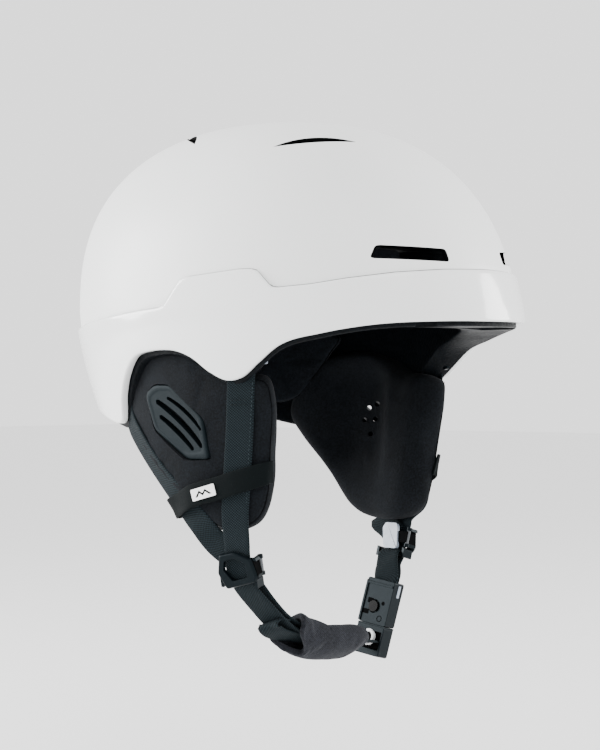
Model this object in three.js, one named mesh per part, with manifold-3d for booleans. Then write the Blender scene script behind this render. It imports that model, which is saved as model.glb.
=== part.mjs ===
// Ski helmet, size M, in millimetres.
// Frame: +X forward, +Y to the wearer's left, +Z up. The origin is the middle of the head
// opening, level with the shell's front rim. Paired pieces are built for the wearer's right
// side, where Y is negative, and mirrored for the left.
import * as THREE from 'three';
import Module from 'manifold-3d';
import { mergeVertices } from 'three/addons/utils/BufferGeometryUtils.js';

const wasm = await Module();
wasm.setup();

// ---- Driving dimensions ----
const SHELL = { centreX: -12.4, halfLength: 128.1, halfWidth: 101.3, height: 106.65, flare: 21 };
const CAVITY = { centreX: -12.4, halfLength: 105.5, halfWidth: 83, height: 84, flare: 0 };
const EQUATOR = 10; // level of the widest section
const CROWN_POWER = 2.5; // how flat the crown is
const BULGE_POWER = 2.3; // how full the shoulder is
const PLAN_POWER = 2.15; // how square the plan view is
const FLARE_TOP = 97; // level where the front lip starts to stand forward
const TUCK = 0.055; // how far the skirt pulls in, TUCK_DEPTH below the equator
const TUCK_DEPTH = 36;
const SKIRT_UNIT = 100; // millimetres of skirt to one unit of drop

const SKIN = 2.2; // wall of the shell, and how far the band stands proud of it
const GAP = 0.3; // between pieces that touch
const LINER_GAP = 0.7; // between the shell and the foam, which are faceted differently
const LINER_LIP = 2; // foam showing below the band
const RING_STEPS = 48;
const DOME_ROWS = 8;
const BAND_ROWS = 3;
const CAVITY_ROWS = 9;
const SIDE_CROWDING = 0.5; // closer steps round the ears, wider ones front and back

const WEBBING_WIDTH = 16;
const WEBBING = 1.5; // thickness
const CHIN_WEBBING_WIDTH = 15.4;
const CHIN_WEBBING = 1.3;
const PAD_RADIUS = 93; // inside of the ear pads, which curve round the head
const PAD_AXIS_X = -8;
const PAD_AXIS_Y = 22.9; // the pad's axis of curvature stands this far across the middle
const PAD_THICKNESS = 22;
const PAD_LEAN = { from: -33, back: 0.14, inward: 0.08 }; // slope of the pads below this level

const PINION_PITCH_RADIUS = 4.5;
const PINION_TEETH = 10;

// Height of an edge at an angle from the front, in degrees, the same on both sides.
const RIM = [
  [0, 1.5], [22, 1.2], [37, -0.5], [50, -5], [60, -11], [66, -21], [70, -28], [74, -30],
  [79, -25.5], [84, -17.5], [90, -13.5], [96, -14.2], [101, -17], [106, -26], [111, -39],
  [115, -52], [118, -54.2], [124, -52.8], [135, -49], [180, -46],
];
const BAND_TOP = [
  [0, 29.5], [16, 28.8], [30, 27], [43, 23.8], [52, 20], [59, 19.5], [62, 21.5], [66, 28.6],
  [70, 29.2], [76, 27.2], [84, 25], [86.5, 21.8], [88.3, 16.5], [90.5, 10], [108, 5.8],
  [125, 2], [150, -3], [180, -6],
];

// ---- Materials ----
function material(color, roughness, metalness = 0) {
  return new THREE.MeshStandardMaterial({ color, roughness, metalness, flatShading: true });
}
const WHITE_MATTE = material(0xe9ebea, 0.5);
const WHITE_GLOSS = material(0xeff1f0, 0.15);
const FOAM = material(0x16181a, 0.85);
const FABRIC = material(0x1b1a1d, 0.95);
const WEB = material(0x17191b, 0.85);
const ELASTIC = material(0x121315, 0.9);
const PLASTIC = material(0x1c2022, 0.45);
const GRILLE = material(0x30373a, 0.4);
const GREY = material(0xb4b8bb, 0.4);
const STEEL = material(0x9a9da0, 0.3, 1);
const PRINT = material(0xe6e6e4, 0.6);

// ---- Solids ----
// Corners that meet share one vertex, and triangles with no area are left out.
function bare(geometry) {
  const copy = geometry.clone();
  copy.deleteAttribute('normal');
  copy.deleteAttribute('uv');
  const merged = mergeVertices(copy, 1e-3);
  const corners = [...merged.index.array];
  const kept = [];
  for (let i = 0; i < corners.length; i += 3) {
    const triangle = corners.slice(i, i + 3);
    if (new Set(triangle).size === 3) kept.push(...triangle);
  }
  merged.setIndex(kept);
  return merged;
}

function signedVolume(geometry) {
  const corners = [0, 1, 2].map(() => new THREE.Vector3());
  let total = 0;
  for (let i = 0; i < geometry.index.count; i += 3) {
    corners.forEach((corner, k) => {
      corner.fromBufferAttribute(geometry.attributes.position, geometry.index.getX(i + k));
    });
    total += corners[0].dot(corners[1].clone().cross(corners[2])) / 6;
  }
  return total;
}

// The same surface with its faces pointing out.
function facingOut(geometry) {
  const merged = bare(geometry);
  if (signedVolume(merged) < 0) {
    const index = merged.index.array;
    for (let i = 0; i < index.length; i += 3) {
      [index[i + 1], index[i + 2]] = [index[i + 2], index[i + 1]];
    }
  }
  return merged;
}

function solid(geometry) {
  const closed = facingOut(geometry);
  return new wasm.Manifold(new wasm.Mesh({
    numProp: 3,
    vertProperties: new Float32Array(closed.attributes.position.array),
    triVerts: new Uint32Array(closed.index.array),
  }));
}

function geometryOf(shape) {
  const mesh = shape.getMesh();
  const geometry = new THREE.BufferGeometry();
  geometry.setAttribute('position', new THREE.BufferAttribute(mesh.vertProperties, 3));
  geometry.setIndex(new THREE.BufferAttribute(mesh.triVerts, 1));
  return geometry;
}

function cut(body, ...tools) {
  return tools.reduce((left, tool) => left.subtract(tool), body);
}

function join(body, ...others) {
  return others.reduce((sum, other) => sum.add(other), body);
}

// ---- Placing ----
const vector = ([x, y, z]) => new THREE.Vector3(x, y, z);

function basis(origin, xAxis, yAxis, zAxis) {
  return new THREE.Matrix4().makeBasis(vector(xAxis), vector(yAxis), vector(zAxis))
    .setPosition(vector(origin));
}

function placed(geometry, matrix) {
  return facingOut(geometry.clone().applyMatrix4(matrix));
}

function box(low, high) {
  const size = high.map((value, k) => value - low[k]);
  const middle = high.map((value, k) => (value + low[k]) / 2);
  return new THREE.BoxGeometry(...size).translate(...middle);
}

// A rod between two points.
function rod(from, to, radius, sides = 16) {
  const [start, end] = [vector(from), vector(to)];
  const along = end.clone().sub(start);
  const geometry = new THREE.CylinderGeometry(radius, radius, along.length(), sides);
  geometry.applyQuaternion(new THREE.Quaternion()
    .setFromUnitVectors(new THREE.Vector3(0, 1, 0), along.clone().normalize()));
  return geometry.translate(...start.add(end).multiplyScalar(0.5).toArray());
}

// A polygon with round corners.
function roundedShape(points, radius) {
  const corners = points.map(([x, y]) => new THREE.Vector2(x, y));
  const shape = new THREE.Shape();
  corners.forEach((corner, i) => {
    const before = corners[(i + corners.length - 1) % corners.length];
    const after = corners[(i + 1) % corners.length];
    const enter = corner.clone().add(before.clone().sub(corner).setLength(radius));
    const leave = corner.clone().add(after.clone().sub(corner).setLength(radius));
    if (i === 0) shape.moveTo(enter.x, enter.y);
    else shape.lineTo(enter.x, enter.y);
    shape.quadraticCurveTo(corner.x, corner.y, leave.x, leave.y);
  });
  shape.closePath();
  return shape;
}

function slab(shape, depth, curveSegments = 3) {
  return new THREE.ExtrudeGeometry(shape, { depth, bevelEnabled: false, curveSegments });
}

// ---- Helmet surfaces ----
// A point has an angle from the front and a drop: 0 at the crown, 1 at the equator, more below.
function inset(surface, depth) {
  return {
    ...surface,
    halfLength: surface.halfLength - depth,
    halfWidth: surface.halfWidth - depth,
    height: surface.height - depth,
  };
}

function levelAt(surface, drop) {
  if (drop > 1) return EQUATOR - (drop - 1) * SKIRT_UNIT;
  return EQUATOR + surface.height * Math.cos(drop * Math.PI / 2) ** (2 / CROWN_POWER);
}

function dropAt(surface, level) {
  if (level < EQUATOR) return 1 + (EQUATOR - level) / SKIRT_UNIT;
  const rise = Math.min(1, (level - EQUATOR) / surface.height);
  return Math.acos(rise ** (CROWN_POWER / 2)) * 2 / Math.PI;
}

const signedPower = (value, power) => Math.sign(value) * Math.abs(value) ** power;

function surfacePoint(surface, angle, drop) {
  const level = levelAt(surface, drop);
  const tucked = 1 - TUCK * Math.max(0, (EQUATOR - level) / TUCK_DEPTH) ** 1.5;
  const spread = drop > 1 ? tucked : Math.sin(drop * Math.PI / 2) ** (2 / BULGE_POWER);
  const along = Math.cos(angle);
  const lip = surface.flare * Math.max(0, 1 - level / FLARE_TOP) ** 1.6 * Math.max(0, along) ** 2;
  return [
    surface.centreX + (surface.halfLength * spread + lip) * signedPower(along, 2 / PLAN_POWER),
    surface.halfWidth * spread * signedPower(Math.sin(angle), 2 / PLAN_POWER),
    level,
  ];
}

// A point on a surface given by degrees from the front, to the wearer's right, and a level.
function onSurface(surface, degrees, level) {
  return surfacePoint(surface, -degrees * Math.PI / 180, dropAt(surface, level));
}

function edgeLine(points) {
  const [angles, heights] = [0, 1].map((k) => points.map((point) => point[k]));
  const line = new THREE.CubicInterpolant(angles, heights, 1);
  line.settings = { endingStart: THREE.ZeroSlopeEnding, endingEnd: THREE.ZeroSlopeEnding };
  return (angle) => {
    const degrees = angle * 180 / Math.PI;
    return line.evaluate(Math.abs(((degrees + 180) % 360) - 180))[0];
  };
}
const rimAt = edgeLine(RIM);
const bandTopAt = edgeLine(BAND_TOP);
const shellEdgeAt = (angle) => bandTopAt(angle) + GAP;

// Rings of a surface between two levels, each ring a function of the angle.
function rings(surface, topAt, bottomAt, count) {
  return Array.from({ length: count + 1 }, (_, row) => (angle) => {
    const top = topAt ? dropAt(surface, topAt(angle)) : 0;
    const drop = top + (dropAt(surface, bottomAt(angle)) - top) * row / count;
    return surfacePoint(surface, angle, drop);
  });
}

// A wall through rings that run down its outside and back up its inside.
function wall(sections) {
  const profile = sections.map((_, k) => new THREE.Vector2(1, k));
  const geometry = new THREE.LatheGeometry(profile, RING_STEPS);
  const position = geometry.attributes.position;
  for (let step = 0; step <= RING_STEPS; step += 1) {
    const even = (step % RING_STEPS) / RING_STEPS * Math.PI * 2;
    const angle = even + SIDE_CROWDING / 2 * Math.sin(2 * even);
    sections.forEach((ring, k) => {
      position.setXYZ(step * sections.length + k, ...ring(angle));
    });
  }
  return geometry;
}

// A crowned form: rings of an outline shrink from its edge to the middle of each face. Each
// ring is [size, height]; `place` puts (x, y, height) in space.
function pillow(outline, middle, rings, steps, place) {
  const profile = rings.map((_, k) => new THREE.Vector2(1, k));
  const geometry = new THREE.LatheGeometry(profile, steps);
  const position = geometry.attributes.position;
  for (let step = 0; step <= steps; step += 1) {
    const edge = outline((step % steps) / steps);
    rings.forEach(([size, height], k) => {
      const x = middle[0] + (edge.x - middle[0]) * size;
      const y = middle[1] + (edge.y - middle[1]) * size;
      position.setXYZ(step * rings.length + k, ...place(x, y, height));
    });
  }
  return geometry;
}

// Rings of a cushion from the middle of its back, round its soft edge, to the middle of its front.
function cushionRings(thickness, back = 0) {
  return [
    [0, back], [0.5, back], [0.9, back], [1, back + thickness * 0.25],
    [1, back + thickness * 0.65], [0.9, back + thickness * 0.95],
    [0.5, back + thickness], [0, back + thickness],
  ];
}

function closedCurve(points) {
  const loop = new THREE.CatmullRomCurve3(points.map(([x, y]) => vector([x, y, 0])), true);
  return (share) => loop.getPoint(share);
}

function ellipse(middle, halfX, halfY, power = 2) {
  return (share) => {
    const turn = share * Math.PI * 2;
    return {
      x: middle[0] + halfX * signedPower(Math.cos(turn), 2 / power),
      y: middle[1] + halfY * signedPower(Math.sin(turn), 2 / power),
    };
  };
}

// A strap: a flat bar bent along a path. `across` gives the direction of its width at each point.
function ribbon({ path, across, width = WEBBING_WIDTH, thickness = WEBBING, spanSteps = 3 }) {
  const curve = new THREE.CatmullRomCurve3(path.map(vector), false, 'centripetal');
  const widthways = new THREE.CatmullRomCurve3(across.map(vector));
  const steps = (path.length - 1) * spanSteps;
  const geometry = new THREE.BoxGeometry(width, thickness, 1, 1, 1, steps);
  const position = geometry.attributes.position;
  for (let i = 0; i < position.count; i += 1) {
    const t = THREE.MathUtils.clamp(position.getZ(i) + 0.5, 0, 1);
    const along = curve.getTangent(t);
    const side = widthways.getPoint(t);
    side.addScaledVector(along, -side.dot(along)).normalize();
    const face = along.clone().cross(side);
    const point = curve.getPoint(t).addScaledVector(side, position.getX(i))
      .addScaledVector(face, position.getY(i));
    position.setXYZ(i, point.x, point.y, point.z);
  }
  return geometry;
}

// ---- Parts ----
const helmet = new THREE.Group();

function addPart(name, shape, look) {
  const geometry = shape.isBufferGeometry ? facingOut(shape) : geometryOf(shape);
  const mesh = new THREE.Mesh(geometry, look);
  mesh.name = name;
  helmet.add(mesh);
  return mesh;
}

// A piece on the wearer's right, and its mirror image on the left.
function addPair(name, shape, look) {
  const right = addPart(`${name}_right`, shape, look);
  const left = new THREE.Mesh(right.geometry, look);
  left.name = `${name}_left`;
  left.scale.y = -1;
  helmet.add(left);
}

const mirrored = (matrix) => new THREE.Matrix4().makeScale(1, -1, 1).multiply(matrix);
const bothSides = (geometry) => [
  solid(geometry),
  solid(placed(geometry, mirrored(new THREE.Matrix4()))),
];

// ---- Ear pad space ----
// (s, z, t): s forward round the pad, z the level, t outward from the pad's inner face.
function onPad(s, z, t) {
  const bend = s / (PAD_RADIUS + PAD_THICKNESS / 2);
  const lean = Math.max(0, PAD_LEAN.from - z);
  return [
    PAD_AXIS_X + (PAD_RADIUS + t) * Math.sin(bend) - PAD_LEAN.back * lean,
    PAD_AXIS_Y - (PAD_RADIUS + t) * Math.cos(bend) + PAD_LEAN.inward * lean,
    z,
  ];
}

// The straight frame that touches pad space at one point.
function padFrame(s, z, t) {
  const [a, b] = [vector(onPad(s - 1, z, t)), vector(onPad(s + 1, z, t))];
  const forward = b.sub(a).normalize();
  const [c, d] = [vector(onPad(s, z - 1, t)), vector(onPad(s, z + 1, t))];
  const up = d.sub(c);
  up.addScaledVector(forward, -up.dot(forward)).normalize();
  const outward = forward.clone().cross(up);
  return new THREE.Matrix4().makeBasis(forward, up, outward).setPosition(vector(onPad(s, z, t)));
}

// ---- Straps and dividers: right-hand frames ----
const DIVIDER_AT = { right: [18.4, -76, -132], left: [13.5, 73, -124.5] };
const DIVIDER_ACROSS = vector([0.985, 0.17, 0]).normalize();
const DIVIDER_OUT = vector([0.164, -0.95, -0.265]).normalize();
const DIVIDER_UP = DIVIDER_OUT.clone().cross(DIVIDER_ACROSS).normalize();
DIVIDER_OUT.crossVectors(DIVIDER_ACROSS, DIVIDER_UP).normalize();

const dividerFrame = {
  right: new THREE.Matrix4().makeBasis(DIVIDER_ACROSS, DIVIDER_UP, DIVIDER_OUT)
    .setPosition(vector(DIVIDER_AT.right)),
};
dividerFrame.left = mirrored(new THREE.Matrix4().makeBasis(DIVIDER_ACROSS, DIVIDER_UP, DIVIDER_OUT)
  .setPosition(vector([DIVIDER_AT.left[0], -DIVIDER_AT.left[1], DIVIDER_AT.left[2]])));

const onDivider = (side, point) => vector(point).applyMatrix4(dividerFrame[side]).toArray();

const BAR = { y: -9, z: -4.5, radius: 1.2 }; // the bar that the chin strap loops round
const LOOP = 2.4; // middle of the webbing round the bar
const LEVER_PIN = { x: 11.2, z: -4.9, radius: 1 };
const FRONT_LAYER = -1.25; // the straps lie behind the divider's plate, one on the other
const REAR_LAYER = -3.6;
const REAR_LEAD = {
  right: [[-26, 20, -5], [-12, 10, -4.2], [0, 1, REAR_LAYER]],
  left: [[-28, 14, -5], [-13, 7, -4.6], [-0.6, 2.4, REAR_LAYER]],
};

// Path of each strap above its divider. The left divider hangs in a slightly different place.
function frontStrapPath(side) {
  const flip = side === 'left' ? -1 : 1;
  const head = [[30, -86.4, -12], [28.6, -86.3, -30]];
  const onFace = [-55, -85, -103].map((z) => onPad(34.5, z, PAD_THICKNESS + 1.35));
  const upper = [...head, ...onFace].map(([x, y, z]) => [x, y * flip, z]);
  const lower = [[0, 13, FRONT_LAYER + 0.2], [0, 5, FRONT_LAYER], [0, -4, FRONT_LAYER]];
  return [...upper, ...lower.map((point) => onDivider(side, point))];
}

function rearStrapPath(side) {
  const flip = side === 'left' ? -1 : 1;
  const upper = [
    [-66, -74.5, -30], [-62, -76, -44], [-55, -78, -56], [-43, -78.5, -73], [-24, -79, -96],
  ].map(([x, y, z]) => [x, y * flip, z]);
  return [...upper, ...REAR_LEAD[side].map((point) => onDivider(side, point))];
}

function mirrorAll(points, side) {
  return points.map(([x, y, z]) => [x, side === 'left' ? -y : y, z]);
}

const FRONT_ACROSS = [
  [0.94, 0.34, 0], [0.94, 0.34, 0], [0.94, 0.34, 0], [0.94, 0.34, 0], [0.95, 0.3, 0],
  [0.985, 0.17, 0], [0.985, 0.17, 0], [0.985, 0.17, 0],
];
const REAR_ACROSS = [
  [-0.93, 0.37, -0.1], [-0.9, 0.4, -0.1], [-0.3, 0.95, 0], [0.1, 1, 0.1],
  [0.05, 1, 0.05], [0.6, 0.5, 0.6], [0.76, -0.04, 0.65], [0.76, -0.04, 0.65],
];

function strapGeometry(side, kind, extra = 0) {
  const path = kind === 'front' ? frontStrapPath(side) : rearStrapPath(side);
  const across = mirrorAll(kind === 'front' ? FRONT_ACROSS : REAR_ACROSS, side);
  const count = extra ? 4 : path.length;
  return ribbon({
    path: path.slice(0, count),
    across: across.slice(0, count),
    width: WEBBING_WIDTH + extra * 2,
    thickness: WEBBING + extra * 2,
  });
}

// ---- Shell, band and liner ----
function frontVent() {
  const outline = [[24.4, 33], [24.4, 40], [58, 41.6], [61.6, 34.4]];
  const geometry = slab(roundedShape(outline, 1.6), 100, 2);
  return placed(geometry, basis([50, 0, 0], [0, -1, 0], [0, 0, 1], [1, 0, 0]));
}

// A slot pointed at both ends, cut straight down through the crown.
function crownVent([startX, startY], [endX, endY], width) {
  const middle = new THREE.Vector2((startX + endX) / 2, (startY + endY) / 2);
  const across = new THREE.Vector2(startY - endY, endX - startX).setLength(width);
  const shape = new THREE.Shape();
  shape.moveTo(startX, startY);
  shape.quadraticCurveTo(middle.x + across.x, middle.y + across.y, endX, endY);
  shape.quadraticCurveTo(middle.x - across.x, middle.y - across.y, startX, startY);
  return slab(shape, 70, 4).translate(0, 0, 60);
}

const vents = [
  frontVent(),
  crownVent([29.5, -60.8], [61.5, -28.6], 5.2),
  crownVent([-29.5, -59.5], [-61.5, -29], 5.2),
].flatMap(bothSides);

function linerWall(margin) {
  const outer = inset(SHELL, SKIN + LINER_GAP - margin);
  const lip = (angle) => rimAt(angle) - LINER_LIP - margin;
  return solid(wall([
    ...rings(outer, null, shellEdgeAt, DOME_ROWS),
    ...rings(outer, bandTopAt, rimAt, BAND_ROWS),
    ...rings(inset(CAVITY, margin), null, lip, CAVITY_ROWS).reverse(),
  ]));
}

const DIAL_AT = { x: -103, z: -44 };
const TAB_SLOT_MARGIN = 0.35;

function earTab(margin) {
  const low = [-26 - margin, -84.6 - margin, -27 - margin];
  return box(low, [-2 + margin, -82.4 + margin, -8 + margin]);
}

function addShell() {
  const upper = wall([
    ...rings(SHELL, null, shellEdgeAt, DOME_ROWS),
    ...rings(inset(SHELL, SKIN), null, shellEdgeAt, DOME_ROWS).reverse(),
  ]);
  addPart('upper_shell', cut(solid(upper), ...vents), WHITE_MATTE);
  const band = [
    ...rings(inset(SHELL, -SKIN), bandTopAt, rimAt, BAND_ROWS),
    ...rings(inset(SHELL, SKIN), bandTopAt, rimAt, BAND_ROWS).reverse(),
  ];
  addPart('lower_band', wall([...band, band[0]]), WHITE_GLOSS);

  const strapSlots = ['right', 'left'].flatMap((side) => (
    ['front', 'rear'].map((kind) => solid(strapGeometry(side, kind, 0.6)))
  ));
  const dialRecess = join(
    solid(rod([-88, 0, DIAL_AT.z], [-115.5, 0, DIAL_AT.z], 22, 24)),
    solid(box([-102.6, -45, -62], [-84, 45, DIAL_AT.z + 14])),
  );
  const tabSlots = bothSides(earTab(TAB_SLOT_MARGIN));
  const liner = cut(linerWall(0), ...vents, ...strapSlots, ...tabSlots, dialRecess);
  addPart('eps_liner', liner, FOAM);
}

// ---- Comfort pads on the liner's inner wall ----
// Pads are laid out in degrees from the front and level, and stand in from the wall.
const PAD_BACK = 1.9; // hook and loop tape behind the pads
const onWall = (degrees, level, depth) => onSurface(inset(CAVITY, depth), degrees, level);

function wallPad(outline, middle, thickness, back = PAD_BACK) {
  return pillow(outline, middle, cushionRings(thickness, back), 24, onWall);
}

function addComfortPads() {
  const brow = ellipse([0, 14], 46, 13, 5);
  addPart('brow_pad', wallPad(brow, [0, 14], 8), FABRIC);
  const side = ellipse([92, 44], 24, 12, 4);
  addPair('side_pad', wallPad(side, [92, 44], 7), FABRIC);
  const nape = closedCurve([
    [101, -4], [112, -1], [130, -1], [144, -4], [146, -20], [143, -38], [132, -43], [119, -41],
    [110, -27], [104, -14],
  ]);
  addPair('nape_pad', wallPad(nape, [125, -20], 7, 4.4), FABRIC);
  const crownPlace = (x, y, depth) => {
    const angle = Math.atan2(y, x);
    return surfacePoint(inset(CAVITY, depth), angle, Math.hypot(x, y));
  };
  const crown = ellipse([0, 0], 0.3, 0.3);
  addPart('crown_pad', pillow(crown, [0, 0], cushionRings(7, PAD_BACK), 20, crownPlace), FABRIC);
}

// ---- Fit system ----
const RACK = { low: 4.95, high: 9.3, length: 46, x: [-98.4, -95.4] };

function gearShape(teeth, root, tip) {
  const shape = new THREE.Shape();
  for (let tooth = 0; tooth < teeth; tooth += 1) {
    [[root, 0], [root, 0.45], [tip, 0.6], [tip, 0.85]].forEach(([radius, share], k) => {
      const turn = (tooth + share) / teeth * Math.PI * 2;
      const point = [radius * Math.cos(turn), radius * Math.sin(turn)];
      if (tooth === 0 && k === 0) shape.moveTo(...point);
      else shape.lineTo(...point);
    });
  }
  shape.closePath();
  return shape;
}

// A rack seen from behind: teeth on its lower edge, which faces the pinion's axis.
function rackShape(from, to) {
  const pitch = Math.PI * 2 * PINION_PITCH_RADIUS / PINION_TEETH;
  const shape = new THREE.Shape();
  shape.moveTo(from, RACK.high);
  shape.lineTo(from, RACK.low + 0.8);
  for (let y = from + pitch; y < to - pitch; y += pitch) {
    shape.lineTo(y, RACK.low + 0.8);
    shape.lineTo(y + pitch * 0.2, RACK.low);
    shape.lineTo(y + pitch * 0.45, RACK.low);
    shape.lineTo(y + pitch * 0.65, RACK.low + 0.8);
  }
  shape.lineTo(to, RACK.low + 0.8);
  shape.lineTo(to, RACK.high);
  shape.closePath();
  return shape;
}

function addFitSystem() {
  const { x, z } = DIAL_AT;
  // Shapes drawn in (y, z) and raised along +X.
  const facing = (originX) => basis([originX, 0, z], [0, 1, 0], [0, 0, 1], [1, 0, 0]);
  const wing = [[-40, 4], [-30, 16], [0, 13], [30, 16], [40, 4], [38, -10], [0, -16], [-38, -10]];
  addPart('fit_cradle', placed(slab(roundedShape(wing, 4), 2.4), facing(-93)), PLASTIC);

  const housing = cut(
    solid(box([-101.2, -36, z - 12.5], [-93.3, 36, z + 12.5])),
    solid(box([-99, -40, z - 10.2], [-94.6, 40, z + 10.2])),
    solid(rod([-110, 0, z], [-98, 0, z], 3.2)),
  );
  addPart('dial_housing', housing, PLASTIC);

  const grip = slab(gearShape(14, 15.6, 17.2), 8);
  const dial = join(
    solid(placed(grip, facing(x - 7))),
    solid(rod([x, 0, z], [-101.6, 0, z], 4.5)),
    solid(rod([x, 0, z], [-95.2, 0, z], 2)),
  );
  const dialBody = cut(dial, solid(rod([-113, 0, z], [x - 4.5, 0, z], 9, 20)));
  addPart('fit_dial', dialBody, PLASTIC);
  const pinion = cut(
    solid(placed(slab(gearShape(PINION_TEETH, 3.6, 4.55), 3), facing(-98.4))),
    solid(rod([-100, 0, z], [-94, 0, z], 2 + GAP)),
  );
  addPart('dial_pinion', pinion, PLASTIC);

  const rack = slab(rackShape(-4, RACK.length - 4), RACK.x[1] - RACK.x[0]);
  addPart('rack_left', placed(rack, facing(RACK.x[0])), PLASTIC);
  const turned = basis([RACK.x[0], 0, z], [0, -1, 0], [0, 0, -1], [1, 0, 0]);
  addPart('rack_right', placed(rack, turned), PLASTIC);

  const napeOutline = ellipse([0, z + 2], 36, 15, 3);
  const napePlace = (y, level, depth) => [-90.2 + depth + (y / 36) ** 2 * 4, y, level];
  const napePad = pillow(napeOutline, [0, z + 2], cushionRings(7), 20, napePlace);
  addPart('cradle_pad', napePad, FABRIC);

  const route = [[141, -32], [135, -16], [124, 0], [108, 10], [88, 14], [66, 14], [52, 14]];
  const arm = ribbon({
    path: route.map(([degrees, level]) => onWall(degrees, level, 2.6)),
    across: route.map(([degrees], k) => {
      const [before, after] = [route[Math.max(0, k - 1)], route[Math.min(route.length - 1, k + 1)]];
      const along = vector(onWall(...after, 0)).sub(vector(onWall(...before, 0)));
      const inward = vector(onWall(degrees, 0, 5)).sub(vector(onWall(degrees, 0, 0)));
      return along.cross(inward).normalize().toArray();
    }),
    width: 10,
    thickness: 1.6,
  });
  addPair('headband', arm, PLASTIC);
  const [ax, ay, az] = onWall(56, 14, 4.5);
  const [bx, by] = onWall(56, 14, 6.5);
  addPair('headband_anchor', rod([ax, ay, az], [bx, by, az], 4, 14), PLASTIC);
}

// ---- Ear pads ----
const GRILLE_AT = [-4, -52];
const GRILLE_OUTLINE = [
  [-16.7, 19.6], [-4, 19.6], [19.4, 1.8], [22.8, -20.6], [6.9, -21.5], [-17.6, -5.3], [-24, 14.4],
];
const GRILLE_CORNER = 3;
const GRILLE_SLOTS = [
  { from: [-6.3, 12.4], to: [17.9, -4.6], width: 2.4 },
  { from: [-14.5, 10.4], to: [17.7, -13.6], width: 3.8 },
  { from: [-12.5, 2.1], to: [11, -15.3], width: 3 },
];
const EAR_HOLES = [[7, -47], [3, -55.5], [14, -44.5], [12.4, -53.5], [8.6, -62.6]];

function slotTool({ from, to, width }, depth) {
  const along = new THREE.Vector2(to[0] - from[0], to[1] - from[1]);
  const shape = new THREE.Shape();
  const half = width / 2;
  shape.absarc(along.length(), 0, half, -Math.PI / 2, Math.PI / 2);
  shape.absarc(0, 0, half, Math.PI / 2, Math.PI * 1.5);
  const geometry = slab(shape, depth, 3).translate(0, 0, -depth / 2).rotateZ(along.angle());
  return geometry.translate(from[0], from[1], 0);
}

function addEarPads() {
  const outline = closedCurve([
    [-6, -18.5], [-20, -19.5], [-31, -22], [-39, -28], [-43.5, -38], [-42, -49], [-27, -67],
    [-5, -89], [10, -100.5], [21, -107.5], [33, -109.5], [43, -104], [48.5, -92], [49, -66], [48.5, -38],
    [44, -32.5], [34, -35.5], [24, -34], [15, -30], [7, -22],
  ]);
  const rings = [
    [0, 0], [0.5, 0], [0.88, 1], [0.98, 4.5], [1, 11], [0.98, 17.5], [0.9, 20.6], [0.5, 22], [0, 22],
  ];
  const body = solid(pillow(outline, [4, -64], rings, 32, onPad));
  const pocketRings = [[0, -8], [0.75, -5], [1, 0], [1, 4], [0.75, 9.5], [0, 12]];
  const pocketOutline = ellipse([-4, -52], 21, 27);
  const pocket = solid(pillow(pocketOutline, [-4, -52], pocketRings, 14, onPad));
  const grilleFrame = padFrame(...GRILLE_AT, PAD_THICKNESS);
  const recess = placed(
    slab(roundedShape(GRILLE_OUTLINE, GRILLE_CORNER), 9).translate(0, 0, -5).scale(1.015, 1.015, 1),
    grilleFrame,
  );
  const holes = EAR_HOLES.map(([s, z]) => (
    solid(rod(onPad(s, z, 6), onPad(s, z, 21), 1.6, 8))
  ));
  const pad = cut(
    body,
    pocket,
    solid(recess),
    ...holes,
    linerWall(0.5),
    solid(earTab(TAB_SLOT_MARGIN)),
  );
  addPair('ear_pad', pad, FABRIC);

  const plate = cut(
    solid(slab(roundedShape(GRILLE_OUTLINE, GRILLE_CORNER), 4.2).translate(0, 0, -4.6)),
    ...GRILLE_SLOTS.map((slot) => solid(slotTool(slot, 20))),
  );
  addPair('ear_grille', placed(geometryOf(plate), grilleFrame), GRILLE);
  addPair('ear_pad_tab', earTab(0), PLASTIC);
}

// ---- Chin strap and buckle ----
const BUCKLE_AT = [18, 45.5, -167.5];
const BUCKLE_UP = vector([0.143, 0.2, 0.97]).normalize();
const BUCKLE_ACROSS = new THREE.Vector3(1, 0, 0).addScaledVector(BUCKLE_UP, -BUCKLE_UP.x).normalize();
const BUCKLE_FACE = BUCKLE_ACROSS.clone().cross(BUCKLE_UP);
const buckleFrame = new THREE.Matrix4().makeBasis(BUCKLE_ACROSS, BUCKLE_UP, BUCKLE_FACE)
  .setPosition(vector(BUCKLE_AT));
const onBuckle = (point) => vector(point).applyMatrix4(buckleFrame).toArray();

// Webbing that comes up behind the divider, loops round its bar and goes back down.
function barLoop(side) {
  return [-28, 33, 94, 155].map((degrees) => {
    const turn = degrees * Math.PI / 180;
    const point = [0, BAR.y + LOOP * Math.sin(turn), BAR.z + LOOP * Math.cos(turn)];
    return onDivider(side, point);
  });
}

const CHIN_PATH = [
  [20, -58.5, -154.5], [21, -41, -167.8], [21, -18, -175.6], [20.3, 8, -179], [18.4, 28, -180.4],
];
const CHIN_ACROSS = [
  [0.97, 0.2, 0.1], [0.95, 0.1, 0.25], [0.92, 0, 0.36], [0.92, 0, 0.36], [0.97, 0, 0.2],
];
const STRAP_END = [16.2, 38, -180.8];

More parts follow.
